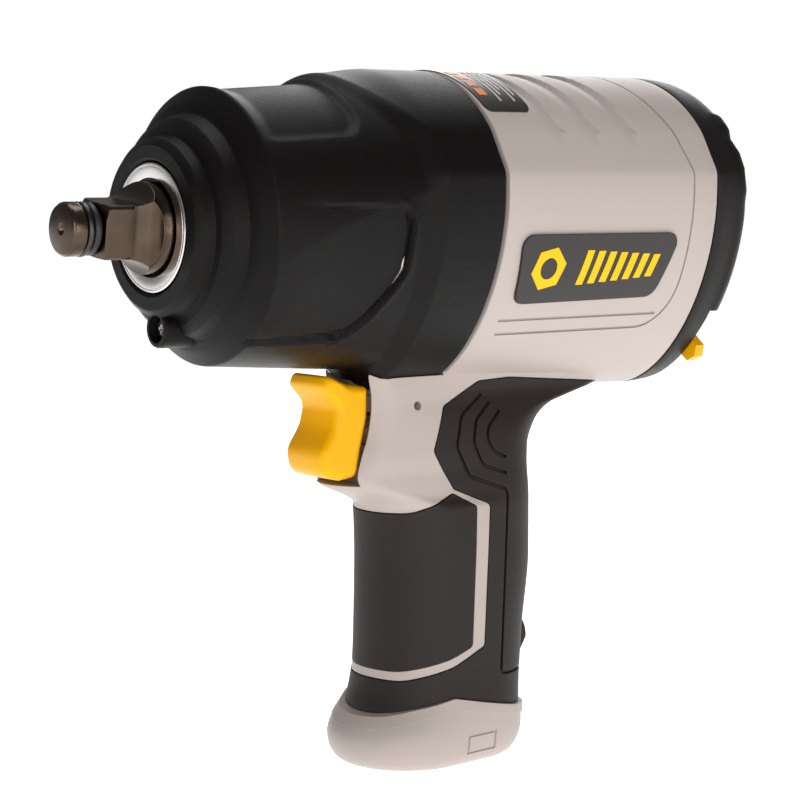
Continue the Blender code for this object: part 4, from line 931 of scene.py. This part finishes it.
def grip_recess(outline, more=()):
    """The room for a rubber grip: the handle's outer layer inside the outline."""
    steps = [
        ("DIFFERENCE", handle_form(RUBBER_DEPTH + 0.2, 27, 125)),
        ("INTERSECT", slab(rounded_outline(spread(outline, GRIP_GAP), 0), -41, 41)),
    ]
    return worked(handle_form(-3.0), steps + list(more))


recess_front = grip_recess(PANEL_OUTLINE)
barrel_room = skinned([body_ring(x, body_depth(x), -0.22) for x in (103.0, 178.0)])
recess_rear = grip_recess(REAR_OUTLINE, [("DIFFERENCE", barrel_room)])
pocket_line = [(40, -36), (88.1, -36), (88.1, -58), (82.5, -65.2), (40, -65.2)]
pocket = slab(rounded_outline(pocket_line, 2.0), -9.0, 9.0)
core = worked(
    barrel,
    [
        ("UNION", handle_form()),
        ("DIFFERENCE", boot_clearance()),
        ("DIFFERENCE", recess_front),
        ("DIFFERENCE", recess_rear),
        ("DIFFERENCE", pocket),
        ("DIFFERENCE", pillar(29.1, 100.0, 162.0, 0, 0, 96)),
        ("DIFFERENCE", pillar(6.6, 86.0, 112.0, 0, -50.0, 32)),
    ],
)

# shallow grooves: two along each side, the lower one turning up before the rear edge
shell_cut = worked(
    skinned([body_ring(x, body_depth(x), -2.0) for x in (103.0, 177.0)]),
    [("DIFFERENCE", skinned([body_ring(x, body_depth(x), 0.5) for x in (102.0, 178.0)]))],
)
cuts = []
side_lines = (
    [(109.3, -24.0), (162.8, -24.0)],
    [
        (110.3, -27.6),
        (158.5, -27.6),
        (161.6, -26.9),
        (164.6, -24.6),
        (166.6, -21.2),
        (167.4, -17.0),
        (167.5, 12.6),
        (165.6, 22.0),
        (160.0, 39.5),
    ],
)
for line in side_lines:
    groove = slab(stroke(line, 0.6), -45, 45)
    cuts.append(("DIFFERENCE", worked(shell_cut.copy(), [("INTERSECT", groove)])))
shell_cut.free()
cuts.append(("DIFFERENCE", slab(circle(94.8, -45.6, 1.15, 32), -30, 30)))
core = worked(core, cuts)
GREY = (0.505, 0.438, 0.404)
HOUSING_GREY = moulded("housing_nylon", GREY, 0.42, 1700.0, 0.000035, 0.0003, 0.035, 0.12, 0.35)
made_piece("housing_shell", core, HOUSING_GREY, "shell", ["motor_housing"], 26)

# ---------------------------------------------------------------- handle base
# The grey foot, screwed under the handle: flared to the front, with a raised lip under the rubber and a small
# embossed date box. The air inlet and the exhaust open underneath.
FOOT = [  # height, front, back, front radius, back radius
    (-119.5, 86.3, 133.3, 18.3, 18.2),
    (-121.5, 85.9, 133.4, 18.7, 18.5),
    (-123.5, 84.8, 133.7, 19.1, 18.8),
    (-125.5, 83.2, 134.0, 19.5, 19.0),
    (-127.5, 81.5, 134.1, 19.8, 19.1),
    (-129.5, 80.2, 134.1, 20.0, 19.1),
    (-131.5, 79.6, 134.1, 20.0, 19.0),
    (-133.5, 79.7, 133.8, 19.8, 18.8),
    (-135.2, 80.1, 133.2, 19.5, 18.5),
    (-136.6, 80.8, 132.4, 19.0, 18.0),
    (-137.8, 81.8, 131.4, 18.2, 17.2),
    (-138.6, 83.0, 130.2, 17.2, 16.2),
    (-139.0, 84.6, 128.8, 15.8, 15.0),
]


def foot_form(out=0.0):
    """The foot's shape, pushed out by an amount."""
    rings = []
    for height, front, back, front_radius, back_radius in FOOT:
        radii = (front_radius + out, back_radius + out)
        rings.append(plan_ring(height, front - out, back + out, *radii, 40))
    return skinned(rings)


raised_lip = worked(foot_form(0.42), [("DIFFERENCE", above_seam(0.1)), ("INTERSECT", above_seam(2.6))])
foot = worked(
    foot_form(),
    [
        ("DIFFERENCE", above_seam(0.1)),
        ("UNION", raised_lip),
    ],
)
core_top = handle_form(RUBBER_DEPTH + 0.2, 27, 124, 90)
steps = []
BORES = (  # radius, top, x, y: the inlet and its flange, the exhaust and the two screws
    (11.8, -130.0, 105.4, 0),
    (8.9, -110.0, 105.4, 0),
    (5.9, -110.0, 124.6, 0),
    (3.5, -135.0, 116.8, 11.0),
    (3.5, -135.0, 116.8, -11.0),
)
for radius, top, x, y in BORES:
    bore = bmesh.new()
    bmesh.ops.create_cone(bore, cap_ends=True, segments=64, radius1=radius, radius2=radius, depth=top + 145)
    bmesh.ops.translate(bore, verts=bore.verts, vec=(x, y, (top - 145) / 2))
    steps.append(("DIFFERENCE", bore))
embossed = worked(
    slab([(105.4, -130.6), (115.4, -130.6), (115.4, -135.6), (105.4, -135.6)], -30, 30),
    [("DIFFERENCE", slab([(106.1, -131.2), (114.7, -131.2), (114.7, -135.0), (106.1, -135.0)], -31, 31))],
)
inset = worked(foot_form(1.0), [("DIFFERENCE", foot_form(-0.35)), ("INTERSECT", embossed)])
steps.append(("DIFFERENCE", inset))
steps.append(("DIFFERENCE", core_top))
foot = worked(foot, steps)
made_piece("foot", foot, HOUSING_GREY, "shell", ["handle_base"], 30)

# ---------------------------------------------------------------- trigger
# Yellow acetal, wide and softly rounded, with a hooked top lip and a hollow for the finger.
# It is drawn as side faces that shrink towards a line inside them.
TRIGGER_YELLOW = moulded("trigger_acetal", (1.0, 0.47, 0.0), 0.34, 1500.0, 0.00001, 0.0005, 0.03, 0.0, 0.22)
TRIGGER_LINE = [
    (82.4, -40.4, 0.8),
    (76.0, -39.4, 4.0),
    (69.8, -36.8, 1.3),
    (68.4, -39.8, 1.8),
    (72.8, -44.8, 4.0),
    (71.4, -50.5, 10.0),
    (67.4, -56.4, 5.0),
    (68.6, -62.2, 4.4),
    (74.0, -63.6, 3.0),
    (79.0, -62.9, 2.0),
    (80.4, -56.0, 5.0),
    (82.4, -48.0, 5.0),
]
TRIGGER_HALF = 8.5
SIDE_ROUND = 2.6
SPINE_TOP, SPINE_END = Vector((77.2, -44.4)), Vector((75.0, -58.0))
spine = SPINE_END - SPINE_TOP
face = rounded_outline(TRIGGER_LINE, 1.0, 10)
rings = []
for i in range(-9, 10):
    turn = math.radians(abs(i) * 10)
    y = math.copysign(TRIGGER_HALF - SIDE_ROUND * (1 - math.sin(turn)), i) if i else 0.0
    inward = SIDE_ROUND * (1 - math.cos(turn))
    ring = []
    for x, z in face:
        spot = Vector((x, z))
        share = min(max((spot - SPINE_TOP).dot(spine) / spine.length_squared, 0.0), 1.0)
        inside = SPINE_TOP + spine * share - spot
        spot += inside.normalized() * inward
        ring.append((spot.x, y, spot.y))
    rings.append(ring)
lever = skinned(rings)
made_piece("trigger_cap", lever, TRIGGER_YELLOW, "trigger_group", ["trigger"], 35)

# ---------------------------------------------------------------- rear cover
# Black nylon cap over the back of the motor, with screw bosses that swell its rim, a raised rib down each
# side and an open track for the direction lever around the dial.
COVER_DEPTH = 45.0


def cover_ring(x, inward, swell):
    """The cap's section at a station, drawn in by an amount and with its bosses and ribs swollen."""
    half = body_half(COVER_DEPTH - inward * 0.5, inward)
    ring = []
    for side in (1, -1):
        points = half if side == 1 else half[::-1][1:-1]
        for y, z in points:
            push = 0.0
            for boss_z, boss_y in ((25.2, 26.5), (16.6, 33.0), (8.8, 35.2)):
                away = math.hypot(y - boss_y, z - boss_z)
                push += 1.1 * (1 - eased(away, 2.0, 4.6)) * (1 if z > 5 else 0)
            push += 0.9 * eased(z, -29.5, -26.5) * (1 - eased(z, 4.4, 5.4))
            way = Vector((y, z)).normalized() if (y or z) else Vector((0, 0))
            ring.append((x, (y + way.x * push * swell) * side, z + way.y * push * swell))
    return ring


cover_stations = [  # x, drawn in, swell
    (176.5, 0.45, 0),
    (176.65, 0.15, 0),
    (177.0, 0.0, 0),
    (180.0, 0.1, 0),
    (183.0, 0.3, 0),
    (184.4, 0.5, 0.2),
    (185.4, 0.8, 0.9),
    (186.6, 1.1, 1.0),
    (187.8, 1.7, 1.0),
    (188.8, 2.6, 0.9),
    (189.5, 3.8, 0.7),
    (189.9, 5.2, 0.4),
    (190.0, 6.6, 0.2),
]
cover = skinned([cover_ring(*station) for station in cover_stations])
DIAL_Z = -21.0
TRACK_START = 184.1
TRACK_MIDDLE, TRACK_HALF = -38.1, 31.0  # degrees from level
BEYOND = 195.0  # past the back of the cap
SCREWS = ((26.5, 19.5), (26.5, -12.5))
steps = [
    ("DIFFERENCE", pillar(13.8, TRACK_START, BEYOND, 0, DIAL_Z, 96)),
    ("DIFFERENCE", pillar(8.6, 170.0, TRACK_START + 1, 0, DIAL_Z, 64)),
]
for side in (1, -1):
    fan = [(0, DIAL_Z)]
    for i in range(9):
        angle = math.radians(TRACK_MIDDLE - TRACK_HALF + 2 * TRACK_HALF * i / 8)
        fan.append((side * 60 * math.cos(angle), DIAL_Z + 60 * math.sin(angle)))
    steps.append(("DIFFERENCE", slab(fan, TRACK_START, BEYOND, "X")))
    for y, z in SCREWS:
        steps.append(("DIFFERENCE", pillar(3.6, 183.5, BEYOND, side * y, z, 48)))
    for y, z in SCREWS:
        steps.append(("DIFFERENCE", pillar(2.3, 170.0, 184.0, side * y, z, 32)))
cover = worked(cover, steps)
COVER_COLOUR = (0.0070, 0.0056, 0.0054)
COVER_BLACK = moulded("cover_nylon", COVER_COLOUR, 0.42, 2300.0, 0.00010, 0.0003, 0.08, 0.05, 0.25)
made_piece("rear_cap", cover, COVER_BLACK, "shell", ["rear_cover"], 32)

# ---------------------------------------------------------------- badges
# Black printed plates on both sides with a plain yellow device: a hexagon and a run of slanted bars.
# The device stands a little above the plate.
plate_line = [(111.2, -19.9, 3.4), (158.2, -19.4, 4.0), (163.4, -2.6, 3.0), (109.0, -2.3, 3.4)]
plate_outline = rounded_outline(plate_line, 0)
PRINT_LOW, PRINT_HIGH = 0.6, 0.85


def laid_on(outline, low, high):
    """A thin plate that follows the barrel's side between two heights above its surface."""
    outer = skinned([body_ring(x, body_depth(x) + high, -high) for x in (104.5, 175.5)])
    inner = skinned([body_ring(x, body_depth(x) + low, -low) for x in (103.5, 176.5)])
    return worked(outer, [("DIFFERENCE", inner), ("INTERSECT", outline)])


PLATE_BLACK = moulded("plate_black", (0.016, 0.012, 0.010), 0.30, 900.0, 0.000008, 0.0003, 0.06, 0.05)
PRINT_YELLOW = moulded("print_yellow", (1.0, 0.55, 0.0), 0.36, 900.0, 0.000006, 0.0001, 0.03, 0.0, 0.2)
NUT_X, NUT_Z, NUT_RADIUS = 119.2, -11.0, 5.6
turns = [math.radians(60 * i + 12) for i in range(6)]
nut = [(NUT_X + NUT_RADIUS * math.cos(turn), NUT_Z + NUT_RADIUS * math.sin(turn)) for turn in turns]
hole = circle(NUT_X, NUT_Z, 2.7, 40)
for side, name in ((-1, "left"), (1, "right")):
    near, far = (-60, -5) if side == -1 else (5, 60)
    plate = laid_on(slab(plate_outline, near, far), 0.0, 0.75)
    made_piece(f"badge_plate_{name}", plate, PLATE_BLACK, "shell", [f"badge_{name}"], 30)
    hexagon = worked(slab(nut, near, far), [("DIFFERENCE", slab(hole, near - 1, far + 1))])
    mark = laid_on(hexagon, PRINT_LOW, PRINT_HIGH)
    made_piece(f"badge_hexagon_{name}", mark, PRINT_YELLOW, "shell", (), 30)
    for bar in range(7):
        x = 129.5 + 3.9 * bar
        low_z, high_z = -15.4 + 0.25 * bar, -6.6 - 0.25 * bar
        stripe = slab([(x, low_z), (x + 2.3, low_z), (x + 4.1, high_z), (x + 1.8, high_z)], near, far)
        mark = laid_on(stripe, PRINT_LOW, PRINT_HIGH)
        made_piece(f"badge_bar_{name}_{bar + 1}", mark, PRINT_YELLOW, "shell", (), 30)

# ---------------------------------------------------------------- rating label
# A black foil label over the top of the barrel, with plain white and orange rules instead of print.
# The rules and blocks are the same on both sides of the middle.
label_line = [(104.6, -26.9, 2.0), (119.4, -26.9, 2.0), (119.4, 26.9, 2.0), (104.6, 26.9, 2.0)]
label_outline = rounded_outline(label_line, 0)
INK_LOW, INK_HIGH = 0.2, 0.32


def over_top(outline, low, high):
    """A thin plate over the top of the barrel."""
    return laid_on(slab(outline, 20.0, 60.0, "Z"), low, high)


LABEL_WHITE = moulded("label_white", (0.62, 0.60, 0.58), 0.4, 900.0, 0.000004, 0.0001, 0.03, 0.0)
LABEL_ORANGE = moulded("label_orange", (0.85, 0.24, 0.02), 0.4, 900.0, 0.000004, 0.0001, 0.03, 0.0)
made_piece("label_foil", over_top(label_outline, 0.0, 0.25), PLATE_BLACK, "shell", ["rating_label"], 30)


def inked(name, side, start, end, reach, finish):
    """A rule or block of print, from start to end along the barrel and over a reach to one side."""
    a, b = sorted((side * reach[0], side * reach[1]))
    bar = over_top([(start, a), (end, a), (end, b), (start, b)], INK_LOW, INK_HIGH)
    made_piece(name, bar, finish, "shell", (), 30)


for side, name in ((-1, "near"), (1, "far")):
    for row in range(5):
        x = 111.4 + 1.5 * row
        reach = (7.0, 24.0 - 2.2 * (row % 3))
        inked(f"label_rule_{name}_{row + 1}", side, x, x + 0.55, reach, LABEL_WHITE)
    for block in range(4):
        reach = (8.0 + 3.8 * block, 10.6 + 3.8 * block)
        inked(f"label_mark_{name}_{block + 1}", side, 106.3, 109.0, reach, LABEL_ORANGE)

# ---------------------------------------------------------------- pieces kept as they are
# The direction lever, the dial, the screws, the inlet and everything inside keep their solids and take a
# finish each.
GROUND_STEEL = steel("ground_steel", (0.56, 0.55, 0.54), 0.28, 800.0, (1, 0.2, 1), 0.00001)
BLACK_OXIDE = steel("black_oxide", (0.09, 0.085, 0.085), 0.35, 800.0, (1, 1, 1), 0.00001)
PLAIN_ALUMINIUM = steel("plain_aluminium", (0.75, 0.74, 0.73), 0.36, 500.0, (1, 1, 1), 0.00002)
SINTERED_BRONZE = steel("sintered_bronze", (0.62, 0.42, 0.20), 0.42, 900.0, (1, 1, 1), 0.00003)
VANE_FIBRE = moulded("vane_laminate", (0.30, 0.16, 0.07), 0.55, 1200.0, 0.00005, 0.0002, 0.2, 0.2)
FELT = moulded("muffler_felt", (0.45, 0.43, 0.40), 0.95, 900.0, 0.0003, 0.0004, 0.2, 0.1)
finishes = {
    "direction_lever": TRIGGER_YELLOW,
    "regulator_dial": COVER_BLACK,
    "reverse_valve": PLAIN_ALUMINIUM,
    "exhaust_muffler": FELT,
    "anvil_bush": SINTERED_BRONZE,
    "trigger_bush": SINTERED_BRONZE,
    "throttle_valve": SINTERED_BRONZE,
    "nose_seal": RING_RUBBER,
    "case_gasket": RING_RUBBER,
}
for name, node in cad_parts.items():
    if name.startswith("vane_"):
        finish = VANE_FIBRE
    elif name.startswith(("cover_screw", "case_screw", "base_screw")):
        finish = BLACK_OXIDE
    else:
        finish = finishes.get(name, GROUND_STEEL)
    if node.material_slots:
        for slot in node.material_slots:
            slot.material = finish
    else:
        node.data.materials.append(finish)
